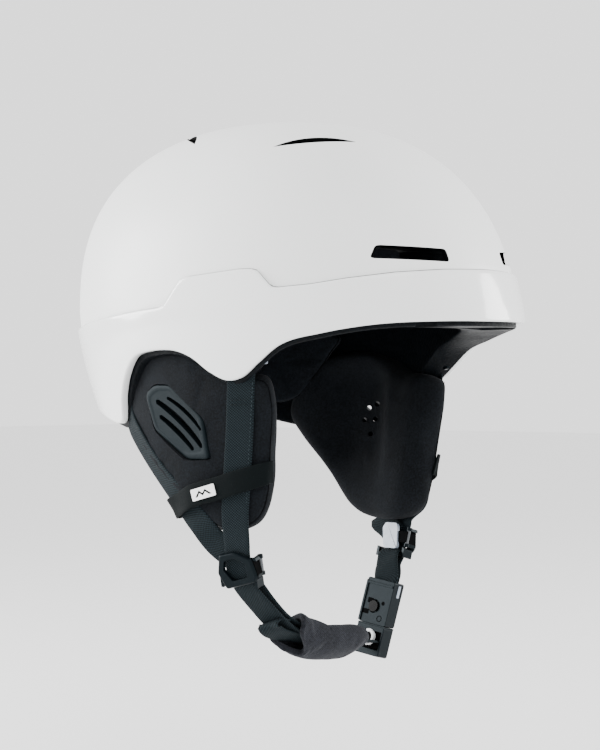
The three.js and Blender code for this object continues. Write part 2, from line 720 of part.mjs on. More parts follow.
function addChinStrap() {
  const loopRight = barLoop('right');
  const bar = DIVIDER_ACROSS.toArray();
  const outer = [STRAP_END, ...CHIN_PATH.toReversed(), ...loopRight];
  const inner = [[19.6, -58, -149.5], [20.3, -46, -160.8], [20.8, -36, -166.6]];
  const outerAcross = [[1, 0, 0], ...CHIN_ACROSS.toReversed(), ...loopRight.map(() => bar)];
  const innerAcross = [bar, [0.95, 0.1, 0.25], [0.92, 0, 0.36]];
  addPart('chin_strap_right', ribbon({
    path: [...outer, ...inner],
    across: [...outerAcross, ...innerAcross],
    width: CHIN_WEBBING_WIDTH,
    thickness: CHIN_WEBBING,
  }), WEB);

  const loopLeft = barLoop('left');
  const leftBar = [0.985, -0.17, 0];
  const across = BUCKLE_ACROSS.toArray();
  addPart('chin_strap_left', ribbon({
    path: [
      onBuckle([0, 12.4, -1]), onBuckle([0.8, 21.5, -0.4]), [15.9, 59, -140], ...loopLeft,
      [15.6, 56.8, -137.6], onBuckle([0.8, 21, 1.2]), onBuckle([0, 12.4, 1.2]),
    ],
    across: [across, across, leftBar, ...loopLeft.map(() => leftBar), leftBar, across, across],
    width: CHIN_WEBBING_WIDTH,
    thickness: CHIN_WEBBING,
  }), WEB);

  const sleevePath = [[21, -45, -164.5], ...CHIN_PATH.slice(2), [17.6, 32, -180.6]];
  const sleeveAcross = [...CHIN_ACROSS.slice(1), [1, 0, 0.1]];
  const section = { width: 25, thickness: 12.5 };
  const sleeve = cut(
    solid(ribbon({ path: sleevePath, across: sleeveAcross, ...section })),
    solid(ribbon({
      path: [[20.6, -49, -162], ...sleevePath, [17, 36, -180.7]],
      across: [CHIN_ACROSS[0], ...sleeveAcross, [1, 0, 0.1]],
      width: 18.5,
      thickness: 8,
    })),
  );
  addPart('chin_pad', sleeve, FABRIC);
}

function addBuckle() {
  const inFrame = (geometry) => solid(placed(geometry, buckleFrame));
  const block = (low, high) => {
    const [width, height] = [high[0] - low[0], high[1] - low[1]];
    const outline = [[0, 0], [width, 0], [width, height], [0, height]];
    const geometry = slab(roundedShape(outline, 1.2), high[2] - low[2], 2);
    return inFrame(geometry.translate(...low));
  };
  const receiver = cut(
    block([-10, -4.2, -4.5], [10, 22, 4.5]),
    inFrame(box([-9.3, 10.4, -3.2], [9.3, 30, 3.2])),
    inFrame(box([-7.4, -9, -2.6], [7.4, 1.8, 2.6])),
    inFrame(rod([-1, 6, 2.8], [-1, 6, 9], 3.9)),
    inFrame(rod([-1, 6, -0.6], [-1, 6, 4], 2.2)),
    inFrame(rod([3.7, 1, 0], [3.7, 3.8, 0], 2.3)),
  );
  addPart('buckle_receiver', receiver, PLASTIC);
  const button = join(
    inFrame(rod([-1, 6, 5.6], [-1, 6, 4.5], 3.3)),
    inFrame(rod([-1, 6, 4.6], [-1, 6, 1], 1.7)),
  );
  addPart('release_button', button, PLASTIC);
  addPart('receiver_magnet', inFrame(rod([3.7, 2, 0], [3.7, 3.5, 0], 2)), STEEL);

  const tongue = cut(
    join(
      block([-10, -22, -4.5], [10, -4.7, 4.5]),
      inFrame(box([-6.2, -6, -1.5], [6.2, 0.4, 1.5])),
    ),
    inFrame(box([-8.8, -18, -3.7], [8.8, -8, 9])),
  );
  addPart('buckle_tongue', tongue, PLASTIC);
  addPart('strap_pin', inFrame(rod([-8.5, -13, -0.1], [8.5, -13, -0.1], 1.2)), STEEL);
  const ring = new THREE.Shape();
  ring.absarc(0, 0, 3.5, -2.2, 2.2);
  ring.absarc(0, 0, 2.3, 2.2, -2.2, true);
  const clip = placed(slab(ring, 2.6, 10), basis([5.2, -13, 0], [0, 0, -1], [0, 1, 0], [1, 0, 0]));
  addPart('strap_clip', inFrame(clip), GREY);
}

// ---- Dividers ----
function addDivider(side) {
  const frameOutline = [
    [-10.6, 8.5], [-1.5, 10.8], [8.4, 6.3], [10.5, -6], [-6.2, -10.7], [-12.2, -1.6],
  ];
  const windowOutline = [
    [-7.4, 5.1], [-1.1, 7], [5.7, 4.4], [6.6, -3.6], [-3.6, -6.6], [-8.8, -0.1],
  ];
  const plate = cut(
    solid(slab(roundedShape(frameOutline, 2), 2.6)),
    solid(slab(roundedShape(windowOutline, 1.5), 9).translate(0, 0, -3)),
  );
  const lug = (x) => solid(box([x - 0.9, -10.4, -6], [x + 0.9, -4.2, 0.8]));
  const hingeLug = (y) => join(
    solid(box([6.8, y, 0.4], [12.6, y + 1.3, 2.2])),
    solid(box([9, y, -6.4], [12.6, y + 1.3, 0.8])),
  );
  const frame = join(
    plate,
    lug(-9.6),
    lug(9.6),
    solid(rod([-9.8, BAR.y, BAR.z], [9.8, BAR.y, BAR.z], BAR.radius, 12)),
    hingeLug(-3.9),
    hingeLug(5.2),
  );
  const pinHole = solid(rod(
    [LEVER_PIN.x, -4.1, LEVER_PIN.z],
    [LEVER_PIN.x, 6.7, LEVER_PIN.z],
    LEVER_PIN.radius + GAP,
    12,
  ));
  const put = (shape) => placed(geometryOf(shape), dividerFrame[side]);
  addPart(`divider_frame_${side}`, put(cut(frame, pinHole)), PLASTIC);

  const tongue = new THREE.Shape();
  tongue.moveTo(LEVER_PIN.x, -2.2);
  tongue.lineTo(LEVER_PIN.x, 4.8);
  tongue.lineTo(8.2, 4.8);
  tongue.lineTo(6, 8);
  tongue.lineTo(-1, 8);
  tongue.absarc(-1, 3, 5, Math.PI / 2, Math.PI * 1.5);
  tongue.closePath();
  const lever = cut(
    join(
      solid(slab(tongue, 1.6, 5).translate(0, 0, -6.6)),
      solid(rod([LEVER_PIN.x, -2.2, LEVER_PIN.z], [LEVER_PIN.x, 4.8, LEVER_PIN.z], 1.9, 14)),
    ),
    pinHole,
  );
  addPart(`divider_lever_${side}`, put(lever), GREY);
  const pin = solid(rod(
    [LEVER_PIN.x, -3.6, LEVER_PIN.z],
    [LEVER_PIN.x, 6.2, LEVER_PIN.z],
    LEVER_PIN.radius,
    12,
  ));
  addPart(`lever_pin_${side}`, put(pin), STEEL);
}

// ---- Webbing above the dividers ----
function addStraps() {
  ['right', 'left'].forEach((side) => {
    addPart(`front_strap_${side}`, strapGeometry(side, 'front'), WEB);
    addPart(`rear_strap_${side}`, strapGeometry(side, 'rear'), WEB);
    addDivider(side);
  });
  const bandRoute = [
    [48, -79.5, 22.4], [43, -82, 25.2], [34, -85.5, 25.9], [24, -88.6, 25.7], [12, -91.8, 25.2],
    [0, -95.3, 24.4],
  ];
  const keeper = ribbon({
    path: [
      ...bandRoute.map(([s, z, t]) => onPad(s, z, t)),
      [-17, -91.2, -96.2], [-24.5, -90.4, -97.6], [-27.2, -87.4, -99], [-27, -77, -99], [-26.6, -70, -98.4],
    ],
    across: [
      [0.2, 0, 1], [0.2, 0, 1], [0.2, 0, 1], [0.25, 0, 1], [0.25, 0, 1], [0.2, 0, 1], [0, 0, 1],
      [-0.4, 0, 0.9], [-0.67, 0, 0.75], [-0.67, 0, 0.75], [-0.67, 0, 0.75],
    ],
    width: 12.5,
    thickness: 1,
  });
  addPair('keeper_band', keeper, ELASTIC);
  const labelFrame = padFrame(18.5, -90.5, 27);
  const outline = [[-7.6, -3.2], [7.6, -3.2], [7.6, 3.2], [-7.6, 3.2]];
  const label = slab(roundedShape(outline, 0.6), 0.5).rotateZ(0.27);
  addPair('band_label', placed(label, labelFrame), PRINT);
}

addShell();
addComfortPads();
addFitSystem();
addEarPads();
addStraps();
addChinStrap();
addBuckle();

export default helmet;
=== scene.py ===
"""Ski helmet: the visible surfaces, fabrics and finishes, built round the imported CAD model.

Shapes are worked out in millimetres in the CAD frame, +X forward, +Y to the wearer's left and +Z
up, and turned into metres when a mesh is made. Angles run from the front, positive to the left.
"""
import math

import bmesh
import bpy
import numpy as np
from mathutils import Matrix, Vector, noise


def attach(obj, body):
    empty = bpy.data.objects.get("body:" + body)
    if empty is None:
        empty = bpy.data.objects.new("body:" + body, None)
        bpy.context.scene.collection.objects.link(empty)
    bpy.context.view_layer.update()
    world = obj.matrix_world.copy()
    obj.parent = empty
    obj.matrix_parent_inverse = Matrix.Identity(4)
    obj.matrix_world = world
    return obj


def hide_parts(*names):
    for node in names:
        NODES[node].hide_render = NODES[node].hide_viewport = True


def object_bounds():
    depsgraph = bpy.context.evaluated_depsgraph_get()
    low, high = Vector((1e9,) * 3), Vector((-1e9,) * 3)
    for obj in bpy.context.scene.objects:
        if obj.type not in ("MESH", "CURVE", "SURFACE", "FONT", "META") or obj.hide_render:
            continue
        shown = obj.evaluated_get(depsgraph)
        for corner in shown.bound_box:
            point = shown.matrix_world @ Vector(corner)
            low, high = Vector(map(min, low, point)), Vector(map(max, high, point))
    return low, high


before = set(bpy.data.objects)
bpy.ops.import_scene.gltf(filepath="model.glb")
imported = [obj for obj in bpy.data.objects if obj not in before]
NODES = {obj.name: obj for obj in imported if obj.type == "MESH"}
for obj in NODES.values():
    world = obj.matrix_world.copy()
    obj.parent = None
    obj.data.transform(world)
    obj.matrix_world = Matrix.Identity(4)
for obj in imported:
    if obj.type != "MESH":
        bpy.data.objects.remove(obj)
CAD_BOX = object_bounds()
MM = 0.001
SIDES = {"right": -1, "left": 1}


# ---------------------------------------------------------------- camera, floor and light
CAMERA_TARGET = Vector((-1.5, -1.3, -27)) * MM
CAMERA_DISTANCE = 1.4
CAMERA_AZIMUTH = math.radians(40)
CAMERA_LENS = 117.9
CAMERA_SENSOR = 36
SWING_ROOM = 0.09  # the floor is this far down, so that the chin strap swings open above it
FLOOR_SIZE = 16
SKY_STRENGTH = 1.85
AREA_LIGHTS = [  # name, position, size, power
    ("key", (1.3, -0.9, 1.3), 1.2, 12),
    ("side", (-1.5, -1.0, 0.35), 1.1, 58),
    ("fill", (1.2, 1.5, 0.4), 1.0, 30),
]


def add_camera():
    data = bpy.data.cameras.new("camera")
    data.lens = CAMERA_LENS
    data.sensor_width = CAMERA_SENSOR
    camera = bpy.data.objects.new("camera", data)
    back = Vector((math.sin(CAMERA_AZIMUTH), -math.cos(CAMERA_AZIMUTH), 0))
    camera.location = CAMERA_TARGET + back * CAMERA_DISTANCE
    camera.rotation_euler = (-back).to_track_quat("-Z", "Y").to_euler()
    bpy.context.scene.collection.objects.link(camera)
    bpy.context.scene.camera = camera


def add_area_light(name, position, aim, size, power):
    data = bpy.data.lights.new(name, "AREA")
    data.shape = "DISK"
    data.size = size
    data.energy = power
    light = bpy.data.objects.new(name, data)
    light.location = position
    light.rotation_euler = (Vector(aim) - Vector(position)).to_track_quat("-Z", "Y").to_euler()
    bpy.context.scene.collection.objects.link(light)


def add_studio():
    """An even white sky, three round lights, and a pale floor that is no part of the helmet."""
    world = bpy.data.worlds.new("studio")
    world.use_nodes = True
    background = world.node_tree.nodes["Background"]
    background.inputs["Color"].default_value = (1, 1, 1, 1)
    background.inputs["Strength"].default_value = SKY_STRENGTH
    bpy.context.scene.world = world
    lowest = CAD_BOX[0][2]
    bpy.ops.mesh.primitive_plane_add(size=FLOOR_SIZE, location=(0, 0, lowest - SWING_ROOM))
    floor = bpy.context.object
    floor.name = "floor"
    paint = bpy.data.materials.new("floor_paint")
    paint.use_nodes = True
    shader = paint.node_tree.nodes["Principled BSDF"]
    shader.inputs["Base Color"].default_value = (0.9, 0.9, 0.9, 1)
    shader.inputs["Roughness"].default_value = 0.9
    floor.data.materials.append(paint)
    for name, position, size, power in AREA_LIGHTS:
        add_area_light(name, position, (0, 0, 0), size, power)


add_camera()
add_studio()


# ---------------------------------------------------------------- materials
def new_material(name, color, roughness, **sockets):
    paint = bpy.data.materials.new(name)
    paint.use_nodes = True
    shader = paint.node_tree.nodes["Principled BSDF"]
    shader.inputs["Base Color"].default_value = (*color, 1)
    shader.inputs["Roughness"].default_value = roughness
    for socket, value in sockets.items():
        shader.inputs[socket.replace("_", " ")].default_value = value
    return paint


class Nodes:
    """Short ways to add and join the nodes of one material."""

    def __init__(self, paint):
        self.tree = paint.node_tree
        self.shader = self.tree.nodes["Principled BSDF"]

    def join(self, source, target):
        self.tree.links.new(source, target)
        return source

    def position(self):
        return self.tree.nodes.new("ShaderNodeTexCoord").outputs["Object"]

    def attribute(self, name):
        node = self.tree.nodes.new("ShaderNodeAttribute")
        node.attribute_name = name
        return node.outputs["Vector"]

    def noise(self, vector, scale, detail=2.0):
        node = self.tree.nodes.new("ShaderNodeTexNoise")
        node.inputs["Scale"].default_value = scale
        node.inputs["Detail"].default_value = detail
        self.join(vector, node.inputs["Vector"])
        return node.outputs["Fac"]

    def cells(self, vector, scale, feature="F1"):
        node = self.tree.nodes.new("ShaderNodeTexVoronoi")
        node.feature = feature
        node.inputs["Scale"].default_value = scale
        self.join(vector, node.inputs["Vector"])
        return node.outputs["Distance"]

    def axes(self, vector):
        node = self.tree.nodes.new("ShaderNodeSeparateXYZ")
        self.join(vector, node.inputs[0])
        return node.outputs

    def math(self, operation, first, second=None, clamp=False):
        node = self.tree.nodes.new("ShaderNodeMath")
        node.operation = operation
        node.use_clamp = clamp
        for socket, value in zip(node.inputs, (first, second)):
            if value is None:
                continue
            if isinstance(value, (int, float)):
                socket.default_value = value
            else:
                self.join(value, socket)
        return node.outputs[0]

    def wave(self, value, period, shift=0.0):
        turned = self.math("MULTIPLY", value, 2 * math.pi / period)
        return self.math("SINE", self.math("ADD", turned, shift))

    def range(self, value, low, high, to_low=0.0, to_high=1.0):
        node = self.tree.nodes.new("ShaderNodeMapRange")
        for socket, number in zip(("From Min", "From Max", "To Min", "To Max"), (low, high, to_low, to_high)):
            node.inputs[socket].default_value = number
        self.join(value, node.inputs["Value"])
        return node.outputs["Result"]

    def colour(self, factor, dark, light):
        node = self.tree.nodes.new("ShaderNodeMix")
        node.data_type = "RGBA"
        node.inputs["A"].default_value = (*dark, 1)
        node.inputs["B"].default_value = (*light, 1)
        self.join(factor, node.inputs["Factor"])
        self.join(node.outputs["Result"], self.shader.inputs["Base Color"])

    def roughness(self, factor, low, high):
        self.join(self.range(factor, 0, 1, low, high), self.shader.inputs["Roughness"])

    def bump(self, height, strength, distance):
        node = self.tree.nodes.new("ShaderNodeBump")
        node.inputs["Strength"].default_value = strength
        node.inputs["Distance"].default_value = distance
        self.join(height, node.inputs["Height"])
        self.join(node.outputs["Normal"], self.shader.inputs["Normal"])


def shaded(colour, amount):
    return tuple(channel * amount for channel in colour)


def painted(name, colour, roughness, grain, strength, **sockets):
    """Paint over moulded plastic: a faint orange peel and a very faint change of tone."""
    paint = new_material(name, colour, roughness, **sockets)
    nodes = Nodes(paint)
    position = nodes.position()
    nodes.colour(nodes.noise(position, 18), shaded(colour, 0.975), colour)
    nodes.roughness(nodes.noise(position, 60, 3), roughness - 0.04, roughness + 0.05)
    nodes.bump(nodes.noise(position, grain, 2), strength, 0.0003)
    return paint


def grooved_gloss(name, colour, roughness):
    """Glossy paint with a field of fine level grooves moulded across the back."""
    paint = new_material(name, colour, roughness, Coat_Weight=0.5, Coat_Roughness=0.06)
    nodes = Nodes(paint)
    position = nodes.position()
    x, _, z = nodes.axes(position)
    nodes.colour(nodes.noise(position, 14), shaded(colour, 0.985), colour)
    field = nodes.math("MULTIPLY", nodes.range(x, -0.088, -0.104), nodes.range(z, -0.006, -0.012))
    ridges = nodes.math("MULTIPLY", nodes.wave(z, 0.0025), field)
    orange_peel = nodes.math("MULTIPLY", nodes.noise(position, 240), 0.12)
    nodes.bump(nodes.math("ADD", ridges, orange_peel), 0.35, 0.0003)
    return paint


def moulded(name, colour, roughness, grain=1400, strength=0.25, **sockets):
    """Plastic from a spark-eroded mould: fine grain, and a faint tone that changes at random."""
    paint = new_material(name, colour, roughness, **{"Specular_IOR_Level": 0.5, **sockets})
    nodes = Nodes(paint)
    position = nodes.position()
    nodes.colour(nodes.noise(position, 90, 3), shaded(colour, 0.82), shaded(colour, 1.22))
    nodes.roughness(nodes.noise(position, 300, 3), roughness - 0.08, roughness + 0.1)
    nodes.bump(nodes.noise(position, grain, 2), strength, 0.0001)
    return paint


def bead_foam(name, colour, roughness):
    """Expanded foam in a smooth mould: the outlines of its beads show as shallow cells."""
    paint = new_material(name, colour, roughness, Specular_IOR_Level=0.06)
    nodes = Nodes(paint)
    position = nodes.position()
    edge = nodes.cells(position, 330, "DISTANCE_TO_EDGE")
    bead = nodes.range(edge, 0.0, 0.12)
    nodes.colour(bead, shaded(colour, 0.6), shaded(colour, 1.3))
    nodes.roughness(nodes.noise(position, 120, 3), roughness - 0.12, roughness + 0.1)
    nodes.bump(bead, 0.35, 0.0003)
    return paint


def knit(name, colour, period=0.0009, roughness=0.92, strength=0.35, sheen=0.04):
    """Fine jersey laid over foam: rows of loops, and a soft nap that catches the light."""
    paint = new_material(
        name, colour, roughness, Sheen_Weight=sheen, Sheen_Roughness=0.45, Specular_IOR_Level=0.12
    )
    paint.node_tree.nodes["Principled BSDF"].inputs["Sheen Tint"].default_value = (0.75, 0.78, 0.85, 1)
    nodes = Nodes(paint)
    position = nodes.position()
    x, y, z = nodes.axes(position)
    around = nodes.math("ADD", x, y)
    rows = nodes.wave(z, period)
    loops = nodes.wave(around, period * 1.3, 0.7)
    fibres = nodes.noise(position, 2200, 2)
    height = nodes.math("ADD", nodes.math("MULTIPLY", rows, loops), nodes.math("MULTIPLY", fibres, 1.6))
    flecks = nodes.noise(position, 1000, 3)
    nap = nodes.math("ADD", nodes.noise(position, 45, 3), nodes.range(flecks, 0.35, 0.65, -0.45, 0.45), True)
    nodes.colour(nap, shaded(colour, 0.55), shaded(colour, 1.75))
    nodes.bump(nodes.math("ADD", height, nodes.math("MULTIPLY", flecks, 2.2)), strength, 0.00016)
    return paint


def webbing(name, colour, across, along, strength=1.0, contrast=6.5):
    """Woven webbing. The weave attribute holds millimetres across and along the strap."""
    paint = new_material(name, colour, 0.72, Sheen_Weight=0.01, Specular_IOR_Level=0.06)
    nodes = Nodes(paint)
    x, y, _ = nodes.axes(nodes.attribute("weave"))
    yarns = nodes.wave(x, across)
    picks = nodes.wave(nodes.math("ADD", y, nodes.math("MULTIPLY", x, 0.22)), along)
    weave = nodes.math("MULTIPLY", yarns, picks)
    fibres = nodes.noise(nodes.position(), 1800, 2)
    height = nodes.math("ADD", nodes.range(weave, -1, 1), nodes.math("MULTIPLY", fibres, 0.5))
    # Colour follows the weave's relief: crowns lighter and hollows darker, painted light and shade on the
    # yarns, with a random fibre tone mixed in.
    nodes.colour(nodes.range(height, 0.35, 1.25), shaded(colour, 0.3), shaded(colour, contrast))
    nodes.bump(height, strength, 0.00022)
    return paint


def brushed(name, colour, roughness):
    paint = new_material(name, colour, roughness, Metallic=1.0)
    nodes = Nodes(paint)
    position = nodes.position()
    nodes.roughness(nodes.noise(position, 700, 3), roughness - 0.06, roughness + 0.1)
    nodes.bump(nodes.noise(position, 900, 2), 0.1, 0.0001)
    return paint


WHITE = (0.83, 0.84, 0.835)
DIM = {"Specular_IOR_Level": 0.09, "Specular_Tint": (0.72, 0.9, 1.0, 1)}
LOOKS = {
    "white_matte": painted("shell_paint", WHITE, 0.42, 260, 0.12, Coat_Weight=0.08, Coat_Roughness=0.3),
    "white_gloss": grooved_gloss("band_paint", (0.85, 0.86, 0.858), 0.16),
    "foam": bead_foam("black_bead_foam", (0.0022, 0.003, 0.004), 0.46),
    "lining": knit("lining_fabric", (0.0032, 0.0044, 0.0062), 0.0011),
    "ear_fabric": knit("ear_fabric", (0.0027, 0.0036, 0.0049), sheen=0.025),
    "chin_fabric": knit("chin_fleece", (0.0095, 0.0103, 0.0132), 0.0013, strength=0.5, sheen=0.06),
    "webbing": webbing("strap_webbing", (0.0024, 0.0039, 0.0047), 1.6, 1.5, 0.9, 5.6),
    "elastic": webbing("keeper_elastic", (0.0018, 0.0036, 0.0042), 0.6, 0.7, 0.3, 1.35),
    "print": moulded("label_print", (0.86, 0.86, 0.85), 0.5, 900, 0.1),
    "grille": moulded("grille_plastic", (0.0028, 0.005, 0.0062), 0.5, 1600, 0.1, **DIM),
    "black_plastic": moulded("black_plastic", (0.0018, 0.0033, 0.0043), 0.34, 1500, 0.12, **DIM),
    "grey_plastic": moulded("grey_plastic", (0.27, 0.31, 0.37), 0.36, 1500, 0.1),
    "steel": brushed("steel", (0.09, 0.095, 0.1), 0.34),
}
THREAD = moulded("black_thread", (0.006, 0.0085, 0.0095), 0.7, 3000, 0.3, Specular_IOR_Level=0.1)
PALE_THREAD = moulded("pale_thread", (0.03, 0.04, 0.045), 0.7, 3000, 0.3, Specular_IOR_Level=0.1)
# Near-black tubes laid along the cushions' seams: painted shade where the seams sink in.
SEAM_SHADOW = moulded("seam_painted_shade", (0.0012, 0.0013, 0.0016), 0.9, 3000, 0.3, Specular_IOR_Level=0.04)
GLOSS_BLACK = moulded(
    "button_gloss", (0.001, 0.001, 0.0012), 0.14, 900, 0.02, Specular_IOR_Level=0.05,
)
WHITE_CLIP = moulded("white_clip", (0.74, 0.75, 0.76), 0.3, 1500, 0.1)
# Flat black with almost no reflection: the label mark's print and a few small black parts, and painted shade
# laid in the vents, the tongue's pocket and the receiver's slots.
DARK = moulded("flat_black_and_painted_shade", (0.001, 0.0011, 0.0013), 0.7, 1500, 0.1, Specular_IOR_Level=0.02)


# ---------------------------------------------------------------- meshes
def mesh_object(name, points, faces, merge=True):
    """Points are in millimetres. Rings that close to a point are merged there."""
    data = bpy.data.meshes.new(name)
    data.from_pydata([tuple(value * MM for value in point) for point in points], [], faces)
    made = bmesh.new()
    made.from_mesh(data)
    if merge:
        bmesh.ops.remove_doubles(made, verts=made.verts, dist=1e-6)
    bmesh.ops.recalc_face_normals(made, faces=made.faces)
    made.to_mesh(data)
    made.free()
    obj = bpy.data.objects.new(name, data)
    bpy.context.scene.collection.objects.link(obj)
    return obj


def smooth(obj, degrees=40):
    data = obj.data
    data.polygons.foreach_set("use_smooth", [True] * len(data.polygons))
    if hasattr(data, "set_sharp_from_angle"):
        data.set_sharp_from_angle(angle=math.radians(degrees))


def apply_modifiers(obj):
    """Turns what the modifiers make into the object's own mesh."""
    graph = bpy.context.evaluated_depsgraph_get()
    data = bpy.data.meshes.new_from_object(obj.evaluated_get(graph))
    obj.modifiers.clear()
    obj.data = data


def boolean(obj, tools, operation="DIFFERENCE"):
    for tool in tools:
        cutter = obj.modifiers.new("cut", "BOOLEAN")
        cutter.operation = operation
        cutter.solver = "EXACT"
        cutter.object = tool
    apply_modifiers(obj)
    for tool in tools:
        bpy.data.objects.remove(tool)


def lathe(name, rings, steps, crowding=0.3, closed=False):
    """A surface through rings, each a function of the angle from the front."""
    points = []
    for step in range(steps):
        even = 2 * math.pi * step / steps
        angle = even + crowding / 2 * math.sin(2 * even)
        points.extend(ring(angle) for ring in rings)
    return mesh_object(name, points, ring_faces(steps, len(rings), closed))


def ring_faces(steps, count, closed=False):
    faces = []
    last = count if closed else count - 1
    for step in range(steps):
        here, there = step * count, (step + 1) % steps * count
        for k in range(last):
            after = (k + 1) % count
            faces.append((here + k, there + k, there + after, here + after))
    return faces


def pillow_points(outline, middle, rings, steps, place):
    points = []
    for step in range(steps):
        share = step / steps
        for size, height in rings:
            edge_x, edge_y = outline(share, height)
            x = middle[0] + (edge_x - middle[0]) * size
            y = middle[1] + (edge_y - middle[1]) * size
            points.append(place(x, y, height))
    return points


HARD_SLOTS = {"black_plastic", "grey_plastic", "grille"}


def finish(obj, body, slot, replaces=(), look=None, degrees=40, padded=None):
    smooth(obj, degrees)
    if slot in HARD_SLOTS:
        obj.modifiers.new("flat", "WEIGHTED_NORMAL").keep_sharp = True
        apply_modifiers(obj)
    obj.data.materials.clear()
    obj.data.materials.append(look or LOOKS[slot])
    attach(obj, body)
    if replaces:
        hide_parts(*replaces)
    return obj


# ---------------------------------------------------------------- curves
def spline(points, closed=False):
    """Centripetal Catmull-Rom curve through points; the parameter runs from 0 to 1."""
    points = [np.array(point, float) for point in points]
    count = len(points)

    def at(share):
        place = (count if closed else count - 1) * share
        k = int(math.floor(place))
        if not closed and k >= count - 1:
            k = count - 2
        weight = place - k
        start, end = points[k % count], points[(k + 1) % count]
        before = points[(k - 1) % count] if closed or k > 0 else 2 * points[0] - points[1]
        after = points[(k + 2) % count] if closed or k + 2 < count else 2 * points[-1] - points[-2]
        gaps = [np.linalg.norm(b - a) ** 0.5 for a, b in ((before, start), (start, end), (end, after))]
        if gaps[1] < 1e-4:
            gaps[1] = 1.0
        gaps = [gap if gap > 1e-4 else gaps[1] for gap in gaps]
        leave = (start - before) / gaps[0] - (end - before) / (gaps[0] + gaps[1]) + (end - start) / gaps[1]
        arrive = (end - start) / gaps[1] - (after - start) / (gaps[1] + gaps[2]) + (after - end) / gaps[2]
        leave, arrive = leave * gaps[1], arrive * gaps[1]
        square = -3 * start + 3 * end - 2 * leave - arrive
        cube = 2 * start - 2 * end + leave + arrive
        return start + leave * weight + square * weight ** 2 + cube * weight ** 3

    return at


def closed_outline(points):
    route = spline(points, closed=True)
    return lambda share, height=0.0: tuple(route(share))


def signed_power(value, power):
    return math.copysign(abs(value) ** power, value)


def oval(middle, half_x, half_y, power=2.0):
    def at(share, height=0.0):
        turn = 2 * math.pi * share
        return (
            middle[0] + half_x * signed_power(math.cos(turn), 2 / power),
            middle[1] + half_y * signed_power(math.sin(turn), 2 / power),
        )

    return at


def strap_frames(path, across, samples):
    """Even steps along a strap: (point, width direction, face direction, distance)."""
    route, widthways = spline(path), spline(across)
    fine = [route(k / 600) for k in range(601)]
    lengths = np.concatenate([[0], np.cumsum([np.linalg.norm(b - a) for a, b in zip(fine, fine[1:])])])
    frames = []
    for distance in np.linspace(0, lengths[-1], samples):
        share = float(np.interp(distance, lengths, np.linspace(0, 1, 601)))
        low, high = max(0.0, share - 0.002), min(1.0, share + 0.002)
        along = route(high) - route(low)
        along /= np.linalg.norm(along)
        side = widthways(share)
        side = side - along * side.dot(along)
        side /= np.linalg.norm(side)
        frames.append((route(share), side, np.cross(along, side), distance))
    return frames


def strap(name, path, across, width, thickness, step=1.6, cup=0.0):
    """Webbing with round edges. cup bows its width a little."""
    length = sum(np.linalg.norm(np.subtract(b, a)) for a, b in zip(path, path[1:]))
    frames = strap_frames(path, across, max(12, int(length / step)))
    half, round_edge = width / 2, thickness / 2
    flat = np.linspace(-half + round_edge, half - round_edge, 9)
    section = [(x, round_edge) for x in flat]
    section += [
        (half - round_edge + round_edge * math.sin(t), round_edge * math.cos(t))
        for t in (0.8, 1.57, 2.34)
    ]
    section += [(x, -round_edge) for x in flat[::-1]]
    section += [
        (-half + round_edge - round_edge * math.sin(t), -round_edge * math.cos(t))
        for t in (0.8, 1.57, 2.34)
    ]
    points, weave = [], []
    for point, side, face, distance in frames:
        for x, y in section:
            lift = y + cup * (1 - (x / half) ** 2)
            points.append(point + side * x + face * lift)
            weave.append((x, distance, 1.0 if y > 0 else -1.0))
    count = len(section)
    faces = []
    for k in range(len(frames) - 1):
        for m in range(count):
            n = (m + 1) % count
            faces.append((k * count + m, k * count + n, (k + 1) * count + n, (k + 1) * count + m))
    faces.append(tuple(range(count)))
    faces.append(tuple(range((len(frames) - 1) * count, len(frames) * count)))
    obj = mesh_object(name, points, faces, merge=False)
    attribute = obj.data.attributes.new("weave", "FLOAT_VECTOR", "POINT")
    attribute.data.foreach_set("vector", [value for triple in weave for value in triple])
    return obj


def thread_line(name, points, radius=0.28, closed=False, sides=6):
    """A thin tube through points, for the painted shade along a seam or a run of thread."""
    route = spline(points, closed)
    samples = max(8, int(sum(np.linalg.norm(np.subtract(b, a)) for a, b in zip(points, points[1:])) / 1.5))
    share = [k / samples for k in range(samples if closed else samples + 1)]
    rings = []
    for value in share:
        low, high = (value - 0.003, value + 0.003) if closed else (
            max(0, value - 0.003), min(1, value + 0.003)
        )
        along = route(high % 1 if closed else high) - route(low % 1 if closed else low)
        along /= np.linalg.norm(along)
        side = np.cross(along, (0, 0, 1) if abs(along[2]) < 0.9 else (1, 0, 0))
        side /= np.linalg.norm(side)
        up = np.cross(along, side)
        centre = route(value)
        rings.append([
            centre + (side * math.cos(t) + up * math.sin(t)) * radius
            for t in np.linspace(0, 2 * math.pi, sides, endpoint=False)
        ])
    verts = [point for ring in rings for point in ring]
    faces = []
    for k in range(len(rings) if closed else len(rings) - 1):
        here, there = k * sides, (k + 1) % len(rings) * sides
        for m in range(sides):
            n = (m + 1) % sides
            faces.append((here + m, here + n, there + n, there + m))
    if not closed:
        faces += [tuple(range(sides)), tuple(range(len(verts) - sides, len(verts)))]
    return mesh_object(name, verts, faces, merge=False)


